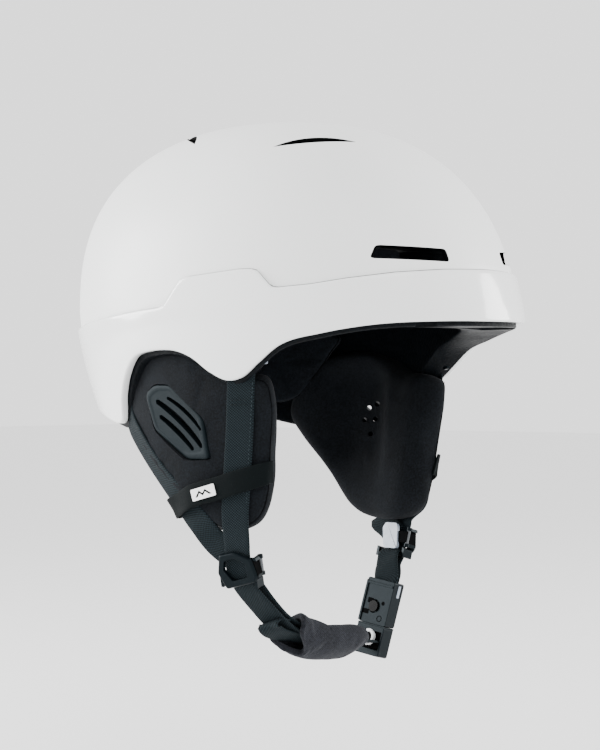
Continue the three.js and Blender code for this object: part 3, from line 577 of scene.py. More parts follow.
def stitches(name, points, normals, length=2.0, gap=1.1, radius=0.22):
    """Separate stitches along a line: short rods that dip into the cloth at both ends."""
    verts, faces = [], []
    travelled, following = 0.0, 0.0
    cumulative = [0.0]
    for a, b in zip(points, points[1:]):
        travelled += float(np.linalg.norm(np.subtract(b, a)))
        cumulative.append(travelled)
    line = [np.array(point, float) for point in points]

    def at(distance, table):
        return np.array([np.interp(distance, cumulative, [row[k] for row in table]) for k in range(3)])

    while following + length < travelled:
        base = len(verts)
        for share, lift in ((0, -0.15), (0.25, 0.16), (0.75, 0.16), (1, -0.15)):
            where = following + length * share
            centre, normal = at(where, line), at(where, normals)
            normal = normal / np.linalg.norm(normal)
            ahead = at(min(where + 0.4, travelled), line) - at(max(where - 0.4, 0), line)
            ahead /= np.linalg.norm(ahead)
            side = np.cross(ahead, normal)
            for turn in range(5):
                angle = 2 * math.pi * turn / 5
                above = lift + radius * math.cos(angle)
                verts.append(centre + normal * above + side * radius * math.sin(angle))
        for ring in range(3):
            for m in range(5):
                n = (m + 1) % 5
                low = base + ring * 5
                faces.append((low + m, low + n, low + 5 + n, low + 5 + m))
        faces += [tuple(range(base, base + 5)), tuple(range(base + 15, base + 20))]
        following += length + gap
    return mesh_object(name, verts, faces, merge=False)


# ---------------------------------------------------------------- helmet surfaces
SHELL = dict(centre=-12.4, length=128.1, width=101.3, height=106.65, flare=21)
CAVITY = dict(centre=-12.4, length=105.5, width=83, height=84, flare=0)
EQUATOR = 10
SKIN = 2.2
RIM = [
    (0, 1.5), (22, 1.2), (37, -0.5), (50, -5), (60, -11), (66, -21), (70, -28), (74, -30),
    (79, -25.5), (84, -17.5), (90, -13.5), (96, -14.2), (101, -17), (106, -26), (111, -39),
    (115, -52), (118, -54.2), (124, -52.8), (135, -49), (180, -46),
]
BAND_TOP = [
    (0, 29.5), (16, 28.8), (30, 27), (43, 23.8), (52, 20.8), (60.3, 19.2), (61.8, 19.9), (65.2, 28.3),
    (66.8, 29.3), (70, 29.2), (84.3, 25.7), (86, 24.3), (90, 10.8), (91.6, 9.6), (108, 5.8), (125, 2),
    (150, -3), (180, -6),
]


def inset(surface, depth):
    return dict(
        surface,
        length=surface["length"] - depth,
        width=surface["width"] - depth,
        height=surface["height"] - depth,
    )


def level_at(surface, drop):
    if drop > 1:
        return EQUATOR - (drop - 1) * 100
    return EQUATOR + surface["height"] * max(0.0, math.cos(drop * math.pi / 2)) ** 0.8


def drop_at(surface, level):
    if level < EQUATOR:
        return 1 + (EQUATOR - level) / 100
    rise = min(1.0, (level - EQUATOR) / surface["height"])
    return math.acos(rise ** 1.25) * 2 / math.pi


def surface_point(surface, angle, drop):
    level = level_at(surface, drop)
    tucked = 1 - 0.055 * max(0.0, (EQUATOR - level) / 36) ** 1.5
    spread = tucked if drop > 1 else math.sin(drop * math.pi / 2) ** (2 / 2.3)
    along = math.cos(angle)
    lip = surface["flare"] * max(0.0, 1 - level / 97) ** 1.6 * max(0.0, along) ** 2
    return (
        surface["centre"] + (surface["length"] * spread + lip) * signed_power(along, 2 / 2.15),
        surface["width"] * spread * signed_power(math.sin(angle), 2 / 2.15),
        level,
    )


def edge_line(rows):
    """A smooth height line through rows of (degrees from the front, height)."""
    angles = np.array([row[0] for row in rows], float)
    heights = np.array([row[1] for row in rows], float)
    slopes = np.zeros(len(rows))
    for k in range(1, len(rows) - 1):
        before = (heights[k] - heights[k - 1]) / (angles[k] - angles[k - 1])
        after = (heights[k + 1] - heights[k]) / (angles[k + 1] - angles[k])
        slopes[k] = (before + after) / 2
        if before * after <= 0:
            slopes[k] *= 0.4

    def at(angle):
        degrees = abs((math.degrees(angle) + 180) % 360 - 180)
        k = min(max(int(np.searchsorted(angles, degrees)) - 1, 0), len(rows) - 2)
        span = angles[k + 1] - angles[k]
        t = (degrees - angles[k]) / span
        return (
            (2 * t ** 3 - 3 * t ** 2 + 1) * heights[k] + (t ** 3 - 2 * t ** 2 + t) * span * slopes[k]
            + (-2 * t ** 3 + 3 * t ** 2) * heights[k + 1] + (t ** 3 - t ** 2) * span * slopes[k + 1]
        )

    return at


def cornered_line(rows):
    """A height line whose corners stay crisp."""
    angles, heights = zip(*rows)
    return lambda angle: float(np.interp(abs((math.degrees(angle) + 180) % 360 - 180), angles, heights))


rim_at = edge_line(RIM)
band_top_at = cornered_line(BAND_TOP)


def wall_ring(surface, depth, level):
    """A ring at a level, on the surface set in by depth."""
    shape = inset(surface, depth)
    return lambda angle: surface_point(shape, angle, drop_at(shape, level(angle)))


def dome_rings(surface, depth, lower, count):
    shape = inset(surface, depth)

    def ring(share):
        def at(angle):
            return surface_point(shape, angle, drop_at(shape, lower(angle)) * share)

        return at

    return [ring(k / count) for k in range(count + 1)]


def between(top, bottom, share):
    return lambda angle: top(angle) + (bottom(angle) - top(angle)) * share


def raised(level, amount):
    return lambda angle: level(angle) + amount


def vent_prism(outline, start, end, along="x", side=1):
    """A prism through the wall. The outline is (across, up) for a cut along X, or (x, y)."""
    count = len(outline)
    points = []
    for depth in (start, end):
        for a, b in outline:
            points.append((depth, a * side, b) if along == "x" else (a, b * side, depth))
    faces = [tuple(range(count)), tuple(range(count, 2 * count))]
    faces += [(k, (k + 1) % count, count + (k + 1) % count, count + k) for k in range(count)]
    return mesh_object("vent_tool", points, faces)


def rounded_polygon(points, radius, segments=5):
    corners = [np.array(point, float) for point in points]
    outline = []
    for k, corner in enumerate(corners):
        before, after = corners[k - 1] - corner, corners[(k + 1) % len(corners)] - corner
        enter = corner + before / np.linalg.norm(before) * radius
        leave = corner + after / np.linalg.norm(after) * radius
        for m in range(segments + 1):
            t = m / segments
            outline.append(tuple(enter * (1 - t) ** 2 + corner * 2 * t * (1 - t) + leave * t ** 2))
    return outline


def lens(start, end, width, grow=0.0, segments=14):
    """A slot pointed at both ends."""
    start, end = np.array(start, float), np.array(end, float)
    along = (end - start) / np.linalg.norm(end - start)
    start, end = start - along * grow, end + along * grow
    across = np.array([-along[1], along[0]]) * (width / 2 + grow)
    outline = []
    for sign, values in ((1, range(segments)), (-1, range(segments, 0, -1))):
        for m in values:
            t = m / segments
            outline.append(tuple(start + (end - start) * t + across * sign * 4 * t * (1 - t)))
    return outline


FRONT_VENT = [(24.4, 33), (24.4, 40), (58, 41.6), (61.6, 34.4)]
CROWN_VENTS = [((29.5, 60.8), (61.5, 28.6)), ((-29.5, 59.5), (-61.5, 29))]


def vent_tools(grow):
    middle = np.mean(FRONT_VENT, axis=0)
    front = [middle + (np.array(p) - middle) * (1 + grow / 12) for p in FRONT_VENT]
    tools = []
    for side in SIDES.values():
        tools.append(vent_prism(rounded_polygon(front, 2.0), 50, 145, "x", side))
        tools += [vent_prism(lens(a, b, 5.2, grow), 55, 130, "z", side) for a, b in CROWN_VENTS]
    return tools


def joined(name, parts):
    """One object from several closed shapes that don't touch."""
    made = bmesh.new()
    for part in parts:
        made.from_mesh(part.data)
        bpy.data.objects.remove(part)
    data = bpy.data.meshes.new(name)
    made.to_mesh(data)
    made.free()
    obj = bpy.data.objects.new(name, data)
    bpy.context.scene.collection.objects.link(obj)
    return obj


def soften_edges(obj, width, degrees=35, segments=2):
    bevel = obj.modifiers.new("edges", "BEVEL")
    bevel.width = width * MM
    bevel.segments = segments
    bevel.limit_method = "ANGLE"
    bevel.angle_limit = math.radians(degrees)
    bevel.harden_normals = False
    apply_modifiers(obj)


def add_shell():
    """The dome and the glossy band, with their vents and the step between them."""
    lower = raised(band_top_at, 0.3)
    outer = dome_rings(SHELL, 0, lower, 64)
    inner = dome_rings(SHELL, SKIN, lower, 30)
    dome = lathe("shell_dome", outer + inner[::-1], 300)
    # A thin near-black sleeve over the shell's cut edges inside the vents: painted shade in the vents.
    lining = dome.copy()
    lining.data = dome.data.copy()
    bpy.context.scene.collection.objects.link(lining)
    lining.name = "vent_wall_painted_shade"
    boolean(lining, [joined("vent_outer", vent_tools(-0.03))], "INTERSECT")
    boolean(lining, vent_tools(-0.6))
    finish(lining, "helmet", "foam", look=DARK, degrees=30)
    boolean(dome, vent_tools(0))
    soften_edges(dome, 0.35, 50)
    finish(dome, "helmet", "white_matte", ["upper_shell"], degrees=30)

    rounding = 1.1
    profile = [
        (-SKIN, between(raised(band_top_at, -rounding), raised(rim_at, rounding), k / 26)) for k in range(27)
    ]
    for turn in (30, 60, 90):
        angle = math.radians(turn)
        depth = -SKIN + rounding * (1 - math.cos(angle))
        profile.append((depth, raised(rim_at, rounding * (1 - math.sin(angle)))))
    profile += [(1.2, rim_at), (SKIN, raised(rim_at, 0.8))]
    profile += [(SKIN, between(raised(rim_at, 1), raised(band_top_at, -0.6), k / 6)) for k in range(1, 7)]
    profile += [(1.4, band_top_at), (0, band_top_at)]
    for turn in (90, 60, 30):
        angle = math.radians(turn)
        depth = -SKIN + rounding * (1 - math.cos(angle))
        profile.append((depth, raised(band_top_at, -rounding * (1 - math.sin(angle)))))
    rings = [wall_ring(SHELL, depth, level) for depth, level in profile]
    band = lathe("shell_band", rings, 420, closed=True)
    finish(band, "helmet", "white_gloss", ["lower_band"], degrees=50)


def add_liner():
    """The foam liner under the shell, open at the vents."""
    skin = SKIN + 0.7
    lip = raised(rim_at, -2)
    outer = dome_rings(SHELL, skin, lip, 26)
    inner = dome_rings(CAVITY, 0, lip, 44)
    rounding = [
        wall_ring(SHELL, skin + 0.8, raised(rim_at, -2.6)), wall_ring(CAVITY, -1.2, raised(rim_at, -2.7))
    ]
    foam = lathe("liner_foam", outer + rounding + inner[::-1], 180)
    bpy.ops.mesh.primitive_cylinder_add(
        radius=0.022, depth=0.0275, vertices=48, location=(-0.10175, 0, -0.044), rotation=(0, math.pi / 2, 0)
    )
    dial = bpy.context.object
    bpy.ops.mesh.primitive_cube_add(size=1, location=(-0.0933, 0, -0.046))
    housing = bpy.context.object
    housing.scale = (0.0186, 0.09, 0.032)
    ducts = [vent_prism(rounded_polygon([(18, -14), (18, 14), (44, 12), (47, -14)], 3), 92, 122, "x", side)
             for side in SIDES.values()]
    boolean(foam, vent_tools(0.9) + [dial, housing] + ducts)
    soften_edges(foam, 0.6, 50)
    finish(foam, "helmet", "foam", ["eps_liner"], degrees=35)


# ---------------------------------------------------------------- cushions
def on_wall(degrees, level, depth):
    shape = inset(CAVITY, depth)
    return surface_point(shape, -math.radians(degrees), drop_at(shape, level))


def crowned(thickness, back=0.0, seam=0.68):
    """Rings of a sewn cushion: flat back, round sides with a seam, and a crowned front."""
    rings = [(k / 6 * 0.94, back) for k in range(6)]
    for size, height in ((0.95, 0.02), (0.985, 0.14), (1.0, 0.34), (1.0, 0.52)):
        rings.append((size, back + thickness * height))
    rings.append((0.992, back + thickness * seam))
    for size, height in ((0.985, 0.78), (0.955, 0.88), (0.9, 0.945), (0.82, 0.975), (0.68, 0.99)):
        rings.append((size, back + thickness * height))
    rings += [
        (0.5, back + thickness), (0.3, back + thickness), (0.12, back + thickness), (0, back + thickness)
    ]
    return rings


SEAM_RING = 10


def puff(obj, held, cap, pressure=4.0):
    """Blows a sewn pad up between its held seams, moving no point further than cap."""
    scene = bpy.context.scene
    start = np.empty(len(obj.data.vertices) * 3)
    obj.data.vertices.foreach_get("co", start)
    group = obj.vertex_groups.new(name="held")
    group.add(held, 1.0, "REPLACE")
    cloth = obj.modifiers.new("cloth", "CLOTH")
    settings = cloth.settings
    settings.quality = 4
    settings.use_pressure = True
    settings.uniform_pressure_force = pressure
    settings.effector_weights.gravity = 0
    settings.vertex_group_mass = "held"
    settings.shrink_min = -0.015
    for number in range(1, 21):
        scene.frame_set(number)
    graph = bpy.context.evaluated_depsgraph_get()
    result = obj.evaluated_get(graph)
    moved = np.empty_like(start)
    result.data.vertices.foreach_get("co", moved)
    obj.modifiers.clear()
    obj.vertex_groups.clear()
    scene.frame_set(1)
    start, moved = start.reshape(-1, 3), moved.reshape(-1, 3)
    travel = moved - start
    distance = np.linalg.norm(travel, axis=1, keepdims=True)
    limit = cap * MM
    scale = np.where(distance > 1e-9, limit * np.tanh(distance / limit) / np.maximum(distance, 1e-9), 0)
    obj.data.vertices.foreach_set("co", (start + travel * scale).ravel())
    obj.data.update()


def subdivide(obj, levels=1):
    surface = obj.modifiers.new("smooth", "SUBSURF")
    surface.levels = levels
    surface.render_levels = levels
    apply_modifiers(obj)


def crumple(obj, size, amount, seed):
    """Soft unevenness of cloth over foam."""
    shift = Vector((seed * 3.1, seed * 1.7, seed * 2.3))
    places = np.empty(len(obj.data.vertices) * 3)
    normals = np.empty_like(places)
    obj.data.vertices.foreach_get("co", places)
    obj.data.vertices.foreach_get("normal", normals)
    places, normals = places.reshape(-1, 3), normals.reshape(-1, 3)
    values = np.array([noise.noise(Vector(place) / (size * MM) + shift) for place in places])
    places += normals * values[:, None] * amount * MM
    obj.data.vertices.foreach_set("co", places.ravel())
    obj.data.update()


def cushion(name, outline, middle, rings, steps, place, held_rings, cap, seed, wrinkle=0.25):
    """A sewn pad, ring by ring from the middle of its back, with its seams held as it fills out."""
    points = pillow_points(outline, middle, rings, steps, place)
    obj = mesh_object(name, points, ring_faces(steps, len(rings)))
    held_points = {
        tuple(round(value * MM, 6) for value in points[step * len(rings) + ring])
        for ring in held_rings for step in range(steps)
    }
    held = [v.index for v in obj.data.vertices if tuple(round(c, 6) for c in v.co) in held_points]
    puff(obj, held, cap)
    subdivide(obj)
    crumple(obj, 14, wrinkle, seed)
    return obj


def seam_points(outline, middle, size, height, place, count=48):
    points = []
    for k in range(count):
        edge_x, edge_y = outline(k / count, height)
        x = middle[0] + (edge_x - middle[0]) * size
        y = middle[1] + (edge_y - middle[1]) * size
        points.append(place(x, y, height))
    return points


def wall_cushion(name, outline, middle, thickness, back, replaces, seed, steps=64):
    rings = crowned(thickness, back)
    obj = cushion(name, outline, middle, rings, steps, on_wall, (0, 1, 2, 3, 4, 5, SEAM_RING), 1.2, seed)
    finish(obj, "helmet", "lining", [replaces], degrees=60, padded=0.7)
    # A near-black tube round the seam, painted as the seam's shade.
    seam = seam_points(outline, middle, 0.995, back + thickness * 0.68, on_wall, 72)
    seam_shade_line = thread_line(name + "_seam", seam, 0.35, closed=True)
    finish(seam_shade_line, "helmet", "lining", look=SEAM_SHADOW, degrees=80)


def mirrored_outline(outline, side):
    """Wall angles are positive to the right, so the left side turns them round."""
    if side == "right":
        return outline
    return lambda share, height=0.0: (-outline(share)[0], outline(share)[1])


def add_wall_cushions():
    wall_cushion("brow_cushion", oval((0, 14), 46, 13, 5), (0, 14), 8, 1.9, "brow_pad", 1, 96)
    nape = closed_outline([
        (101, -4), (112, -1), (130, -1), (144, -4), (146, -20), (143, -38), (132, -43), (119, -41),
        (110, -27), (104, -14),
    ])
    for side, sign in SIDES.items():
        turn = 1 if side == "right" else -1
        wall_cushion(f"side_cushion_{side}", mirrored_outline(oval((92, 44), 24, 12, 4), side),
                     (92 * turn, 44), 7, 1.9, f"side_pad_{side}", 2 + sign)
        wall_cushion(f"nape_cushion_{side}", mirrored_outline(nape, side),
                     (125 * turn, -20), 7, 4.4, f"nape_pad_{side}", 5 + sign, 80)

    def crown_place(x, y, depth):
        shape = inset(CAVITY, depth)
        return surface_point(shape, math.atan2(y, x), math.hypot(x, y))

    crown = cushion("crown_cushion", oval((0, 0), 0.3, 0.3), (0, 0), crowned(7, 1.9), 64, crown_place,
                    (0, 1, 2, 3, 4, 5, SEAM_RING), 1.2, 9)
    finish(crown, "helmet", "lining", ["crown_pad"], degrees=60, padded=0.7)

    def nape_place(y, level, depth):
        return (-90.2 + depth + (y / 36) ** 2 * 4, y, level)

    nape_oval = oval((0, -42), 36, 15, 3)
    cradle = cushion("cradle_cushion", nape_oval, (0, -42), crowned(7), 64, nape_place,
                     (0, 1, 2, 3, 4, 5, SEAM_RING), 1.2, 10)
    finish(cradle, "cradle", "lining", ["cradle_pad"], degrees=60, padded=0.7)


# ---------------------------------------------------------------- ear cushions
PAD_RADIUS = 93.0
PAD_THICKNESS = 22.0


def on_pad(s, z, t, side="right"):
    """Forward round the pad, level, and outward from the pad's inner face."""
    bend = s / (PAD_RADIUS + PAD_THICKNESS / 2)
    lean = max(0.0, -33 - z)
    x = -8 + (PAD_RADIUS + t) * math.sin(bend) - 0.14 * lean
    y = 22.9 - (PAD_RADIUS + t) * math.cos(bend) + 0.08 * lean
    return (x, -SIDES[side] * y, z)


EAR_OUTER = [
    (-6, -12.5), (-20, -13), (-32, -17), (-42.5, -26), (-47.5, -38), (-49, -47), (-44, -57), (-30, -69),
    (-17.5, -79), (-5, -88.5), (8, -98.5), (20.5, -107.5), (32, -111.3), (42, -109.3), (48, -104),
    (51.3, -93), (51.5, -66), (50.5, -40), (46.5, -29.5), (33, -28), (15, -19),
]
EAR_INNER = [
    (-6, -14), (-22, -14), (-38, -17), (-50, -25), (-57, -36), (-58, -50), (-49, -62), (-38, -73),
    (-26, -84.5), (-14.5, -96), (-3, -106), (9, -111.3), (22, -112.5), (34, -111.5), (43, -107.5),
    (48.5, -97), (49.5, -66), (47.5, -38), (43.5, -27), (32, -25), (16, -19),
]
EAR_MIDDLE = (4, -64)
EAR_SEAM = (0.962, 20.2)
EAR_HOLES = [(-6, -46.8), (-8, -54), (-0.7, -44.3), (-0.4, -53.3), (-2.3, -62.3)]


def ease(value):
    value = min(1.0, max(0.0, value))
    return value * value * (3 - 2 * value)


def ear_outline():
    """The pad's edge leans in toward the outer face along its rear and lower sides."""
    inner, outer = spline(EAR_INNER, closed=True), spline(EAR_OUTER, closed=True)
    rows = {}

    def at(share, height):
        if share not in rows:
            rows[share] = (inner(share), outer(share))
        near, far = rows[share]
        return tuple(near + (far - near) * ease((height - 3) / 17))

    return at


def ear_rings():
    """Inner face, bolster, seam and outer face. Heights are outward from the inner face."""
    rings = [(k / 16 * 0.78, 0.0) for k in range(16)]
    rings += [(0.8, 0.2), (0.87, 1.1), (0.93, 3.0), (0.972, 5.9), (0.994, 9.2), (1.0, 12.5), (0.998, 15.5)]
    rings += [(0.985, 18.3), (0.972, 19.7), EAR_SEAM, (0.955, 20.5)]
    rings += [(0.935, 21.3), (0.9, 21.8), (0.84, 22), (0.74, 22), (0.55, 22), (0.3, 22), (0, 22)]
    return rings


EAR_SEAM_RING = 25


def ear_hollow(s, z):
    """Depth of the hollow for the ear: steep behind the front bolster, easing out to the rear."""
    behind = 8 + (-28 - z) * 0.22 - s
    front = ease((behind + 12) / 27)
    rear = 1 - ease((behind - 26) / 34)
    top_and_bottom = ease((z + 98) / 34) * (1 - 0.55 * ease((z + 34) / 18))
    return 12 * front * rear * top_and_bottom


def add_ear_cushion(side):
    outline = ear_outline()

    def place(s, z, t):
        crown = 0.8 * math.exp(-((s - 4) / 34) ** 2 - ((z + 64) / 38) ** 2) if t > 20.4 else 0
        return on_pad(s, z, t + ear_hollow(s, z) * max(0.0, 1 - t / 5) + crown, side)

    pad = cushion(
        f"ear_cushion_{side}", outline, EAR_MIDDLE, ear_rings(), 120, place, (EAR_SEAM_RING,), 0.8,
        20 + SIDES[side], 0.3,
    )
    tools = []
    for s, z in EAR_HOLES:
        outer = Vector(on_pad(s - 6.5, z, 21, side)) * MM
        inner = Vector(on_pad(s + 3.4, z, 8, side)) * MM
        bpy.ops.mesh.primitive_cylinder_add(
            radius=1.5 * MM, depth=(outer - inner).length, vertices=16, location=(outer + inner) / 2
        )
        tool = bpy.context.object
        tool.rotation_euler = (outer - inner).to_track_quat("Z", "Y").to_euler()
        tools.append(tool)
    recess = rounded_polygon([(x * 1.02, y * 1.02) for x, y in GRILLE_OUTLINE], 3.2)
    tools.append(prism("grille_tool", recess, -5.2, 5, grille_frame(side)))
    boolean(pad, tools)
    finish(pad, "helmet", "ear_fabric", [f"ear_pad_{side}"], degrees=60, padded=0.8)
    # A near-black tube round the seam, painted as the seam's shade.
    seam = seam_points(outline, EAR_MIDDLE, EAR_SEAM[0] + 0.001, EAR_SEAM[1], place, 120)
    seam_shade_line = thread_line(f"ear_seam_{side}", seam, 0.32, closed=True)
    finish(seam_shade_line, "helmet", "ear_fabric", look=SEAM_SHADOW, degrees=80)


# ---------------------------------------------------------------- ear grilles
GRILLE_OUTLINE = [
    (-16.7, 19.6), (-4, 19.6), (19.4, 1.8), (22.8, -20.6), (6.9, -21.5), (-17.6, -5.3), (-24, 14.4),
]
GRILLE_SLOTS = [
    ((-6.3, 12.4), (17.9, -4.6), 2.4, 1.6),
    ((-14.5, 10.4), (17.7, -13.6), 3.8, 1.9),
    ((-12.5, 2.1), (11, -15.3), 3.2, 1.0),
]


def grille_frame(side):
    """The straight frame that touches the pad's outer face at the grille."""
    centre = np.array(on_pad(-4, -52, PAD_THICKNESS))
    forward = np.subtract(on_pad(-3, -52, PAD_THICKNESS), on_pad(-5, -52, PAD_THICKNESS))
    forward /= np.linalg.norm(forward)
    up = np.subtract(on_pad(-4, -51, PAD_THICKNESS), on_pad(-4, -53, PAD_THICKNESS))
    up -= forward * up.dot(forward)
    up /= np.linalg.norm(up)
    axes = [forward, up, np.cross(forward, up)]
    if side == "left":
        flip = np.array([1, -1, 1])
        centre, axes = centre * flip, [axis * flip for axis in axes]
    return centre, axes


def in_frame(point, place):
    centre, axes = place
    return centre + axes[0] * point[0] + axes[1] * point[1] + axes[2] * point[2]


def prism(name, outline, low, high, place):
    count = len(outline)
    points = [in_frame((x, y, z), place) for z in (low, high) for x, y in outline]
    faces = [tuple(range(count)), tuple(range(count, 2 * count))]
    faces += [(k, (k + 1) % count, count + (k + 1) % count, count + k) for k in range(count)]
    return mesh_object(name, points, faces)


def plate(name, outline, low, high, place, body, slot, edge=None, **finishing):
    """A flat piece between two heights over an outline, finished as part of a body."""
    piece = prism(name, outline, low, high, place)
    if edge:
        soften_edges(piece, *edge)
    finish(piece, body, slot, **finishing)


def stacked(name, outline, middle, profile, place):
    """A solid of parallel outlines, each one scaled about the middle and set at its height."""
    count = len(outline)
    points = []
    for size, height in profile:
        for x, y in outline:
            point = (middle[0] + (x - middle[0]) * size, middle[1] + (y - middle[1]) * size, height)
            points.append(in_frame(point, place))
    last = len(profile) - 1
    faces = [tuple(range(count)), tuple(range(last * count, (last + 1) * count))]
    for ring in range(last):
        low, high = ring * count, (ring + 1) * count
        for k in range(count):
            n = (k + 1) % count
            faces.append((low + k, low + n, high + n, high + k))
    return mesh_object(name, points, faces)


def bowed_slot(start, end, width, bow, segments=12):
    """A slot with round ends that bows sideways between them."""
    start, end = np.array(start, float), np.array(end, float)
    along = (end - start) / np.linalg.norm(end - start)
    across = np.array([-along[1], along[0]])
    edge = []
    for sign in (1, -1):
        side = []
        for m in range(segments + 1):
            t = m / segments
            centre = start + (end - start) * t + across * bow * 4 * t * (1 - t)
            taper = width / 2 * (0.75 + 0.25 * math.sin(math.pi * t))
            side.append(centre + across * sign * taper)
        edge.append(side)
    cap_end = [end + along * width * 0.32]
    cap_start = [start - along * width * 0.32]
    return [tuple(p) for p in edge[0] + cap_end + edge[1][::-1] + cap_start]


def add_grille(side):
    """The slotted hard cover over the ear port, with a rounded rim and a sunken face."""
    place = grille_frame(side)
    outline = rounded_polygon(GRILLE_OUTLINE, 3.4, 7)
    middle = np.mean(GRILLE_OUTLINE, axis=0)
    profile = [
        (1.0, -4.6), (1.0, -1.3), (0.985, -0.75), (0.955, -0.45), (0.9, -0.4), (0.84, -0.42), (0.8, -0.75)
    ]
    cover = stacked(f"grille_plate_{side}", outline, middle, profile, place)
    tools = [
        prism("slot_tool", bowed_slot(start, end, width, bow), -8, 3, place)
        for start, end, width, bow in GRILLE_SLOTS
    ]
    boolean(cover, tools)
    soften_edges(cover, 0.3, 50)
    finish(cover, "helmet", "grille", [f"ear_grille_{side}"], degrees=40)


# ---------------------------------------------------------------- straps and dividers
def unit(vector):
    vector = np.array(vector, float)
    return vector / np.linalg.norm(vector)


DIVIDER_AT = {"right": (18.4, -76, -132), "left": (13.5, 73, -124.5)}
DIVIDER_ACROSS = unit((0.985, 0.17, 0))
DIVIDER_UP = unit(np.cross(unit((0.164, -0.95, -0.265)), DIVIDER_ACROSS))
DIVIDER_OUT = np.cross(DIVIDER_ACROSS, DIVIDER_UP)
BAR = (-9, -4.5)
LOOP = 2.4
REAR_LEAD = {
    "right": [(-16, 14.5, -3.6), (-8, 8, -3.2), (0, 1, -3.2)],
    "left": [(-18, 12.5, -3.6), (-9, 7, -3.2), (-0.6, 1.5, -3.2)],
}


def divider_frame(side):
    flip = np.array([1, 1 if side == "right" else -1, 1])
    return np.array(DIVIDER_AT[side], float), [
        axis * flip
        for axis in (DIVIDER_ACROSS, DIVIDER_UP, DIVIDER_OUT)
    ]


def on_divider(side, point):
    return in_frame(point, divider_frame(side))


def sided(points, side):
    return [(x, y if side == "right" else -y, z) for x, y, z in points]


FRONT_ACROSS = [(0.94, 0.34, 0)] * 4 + [(0.95, 0.3, 0)] + [(0.985, 0.17, 0)] * 3
REAR_ROUTE = [
    (-66.5, -74.5, -36), (-60, -78.8, -52), (-50.5, -82.4, -62), (-32.5, -85.2, -79.7),
    (-14.6, -85.4, -96.2), (-3, -84.2, -107.5),
]
REAR_ACROSS = [
    (0.8, -0.57, 0.19), (0.82, -0.55, 0.19), (0.86, -0.49, 0.16), (0.86, -0.44, 0.24), (0.9, -0.26, 0.3),
    (0.88, -0.02, 0.42), (0.87, 0.08, 0.48), (0.86, 0.08, 0.5), (0.86, 0.08, 0.5),
]


def add_side_straps(side):
    """The front and rear webbing of one side, and the elastic that keeps them on the pad."""
    front = [(30, -86.4, -12), (28.6, -86.3, -30)] + [
        on_pad(34.5, z, PAD_THICKNESS + 1.35)
        for z in (-55, -85, -103)
    ]
    front = sided(front, side) + [
        on_divider(side, p)
        for p in ((0, 13, -1.05), (-0.9, 5, -1.2), (-1.4, -6.4, -1.2))
    ]
    across = sided(FRONT_ACROSS, side)
    obj = strap(f"front_webbing_{side}", front, across, 16, 1.5)
    finish(obj, "helmet", "webbing", [f"front_strap_{side}"], degrees=50)

    obj = strap(
        f"rear_webbing_{side}", sided(REAR_ROUTE, side) + [on_divider(side, p) for p in REAR_LEAD[side]],
        sided(REAR_ACROSS, side), 16, 1.5,
    )
    finish(obj, "helmet", "webbing", [f"rear_strap_{side}"], degrees=50)

    route = [on_pad(*p) for p in (
        (51.5, -79, 20), (49.6, -79.6, 22.6), (43.5, -81.6, 24.9), (34, -85, 26.1), (24, -88.6, 26),
        (16, -91, 26),
    )]
    route += [(-5.5, -90.6, -93.4), (-11, -89.6, -95.9), (-17, -87.4, -98.4), (-22.4, -85, -100.4)]
    route += [(-23.2, -82.4, -100.6), (-18, -80.3, -98.6), (-12, -79.8, -96)]
    widthways = [(0.2, 0, 1)] * 4 + [(0.22, 0, 1)] * 2 + [(0.16, 0, 1), (0, 0, 1), (-0.3, 0, 0.95)]
    widthways += [(-0.6, 0, 0.8)] * 4
    obj = strap(f"keeper_elastic_{side}", sided(route, side), sided(widthways, side), 12.5, 1.0, 1.2)
    finish(obj, "helmet", "elastic", [f"keeper_band_{side}"], degrees=50)


def label_frame(side):
    centre = np.array(on_pad(18.5, -90.5, 26.75))
    forward = unit(np.subtract(on_pad(19.5, -90.5, 26.75), on_pad(17.5, -90.5, 26.75)))
    up = np.array((0, 0, 1.0))
    up = unit(up - forward * up.dot(forward))
    turn = 0.27
    right_way = forward * math.cos(turn) + up * math.sin(turn)
    upward = up * math.cos(turn) - forward * math.sin(turn)
    axes = [right_way, upward, np.cross(right_way, upward)]
    if side == "left":
        flip = np.array([1, -1, 1])
        return centre * flip, [axis * flip for axis in axes]
    return centre, axes


def add_label(side):
    place = label_frame(side)
    outline = rounded_polygon([(-7.6, -3.2), (7.6, -3.2), (7.6, 3.2), (-7.6, 3.2)], 0.8)
    plate(
        f"label_plate_{side}", outline, 0.1, 0.55, place, "helmet", "print", replaces=[f"band_label_{side}"]
    )
    peaks = [
        (-5.4, -1.6), (-2.4, 1.7), (-0.4, -0.2), (1.4, 1.7), (5.2, -1.6), (3.6, -1.6), (1.4, 0.4),
        (-0.4, -1.5), (-2.4, 0.3), (-3.9, -1.6),
    ]
    plate(f"label_mark_{side}", peaks, 0.5, 0.62, place, "helmet", "print", look=DARK)


# ---------------------------------------------------------------- chin strap and cushion
BUCKLE_UP = unit((0.143, 0.2, 0.97))
BUCKLE_ACROSS = unit(np.array([1.0, 0, 0]) - BUCKLE_UP * BUCKLE_UP[0])
BUCKLE_FACE = np.cross(BUCKLE_ACROSS, BUCKLE_UP)
BUCKLE = (np.array([18, 45.5, -167.5]), [BUCKLE_ACROSS, BUCKLE_UP, BUCKLE_FACE])


def on_buckle(point):
    return in_frame(point, BUCKLE)


def bar_loop(side):
    points = []
    for degrees in (-28, 33, 94, 155):
        turn = math.radians(degrees)
        points.append(on_divider(side, (0, BAR[0] + LOOP * math.sin(turn), BAR[1] + LOOP * math.cos(turn))))
    return points


CHIN_PATH = [(20, -58.5, -154.5), (21, -41, -167.8), (21, -18, -175.6), (20.3, 8, -179), (18.4, 28, -180.4)]
CHIN_ACROSS = [(0.97, 0.2, 0.1), (0.95, 0.1, 0.25), (0.92, 0, 0.36), (0.92, 0, 0.36), (0.97, 0, 0.2)]


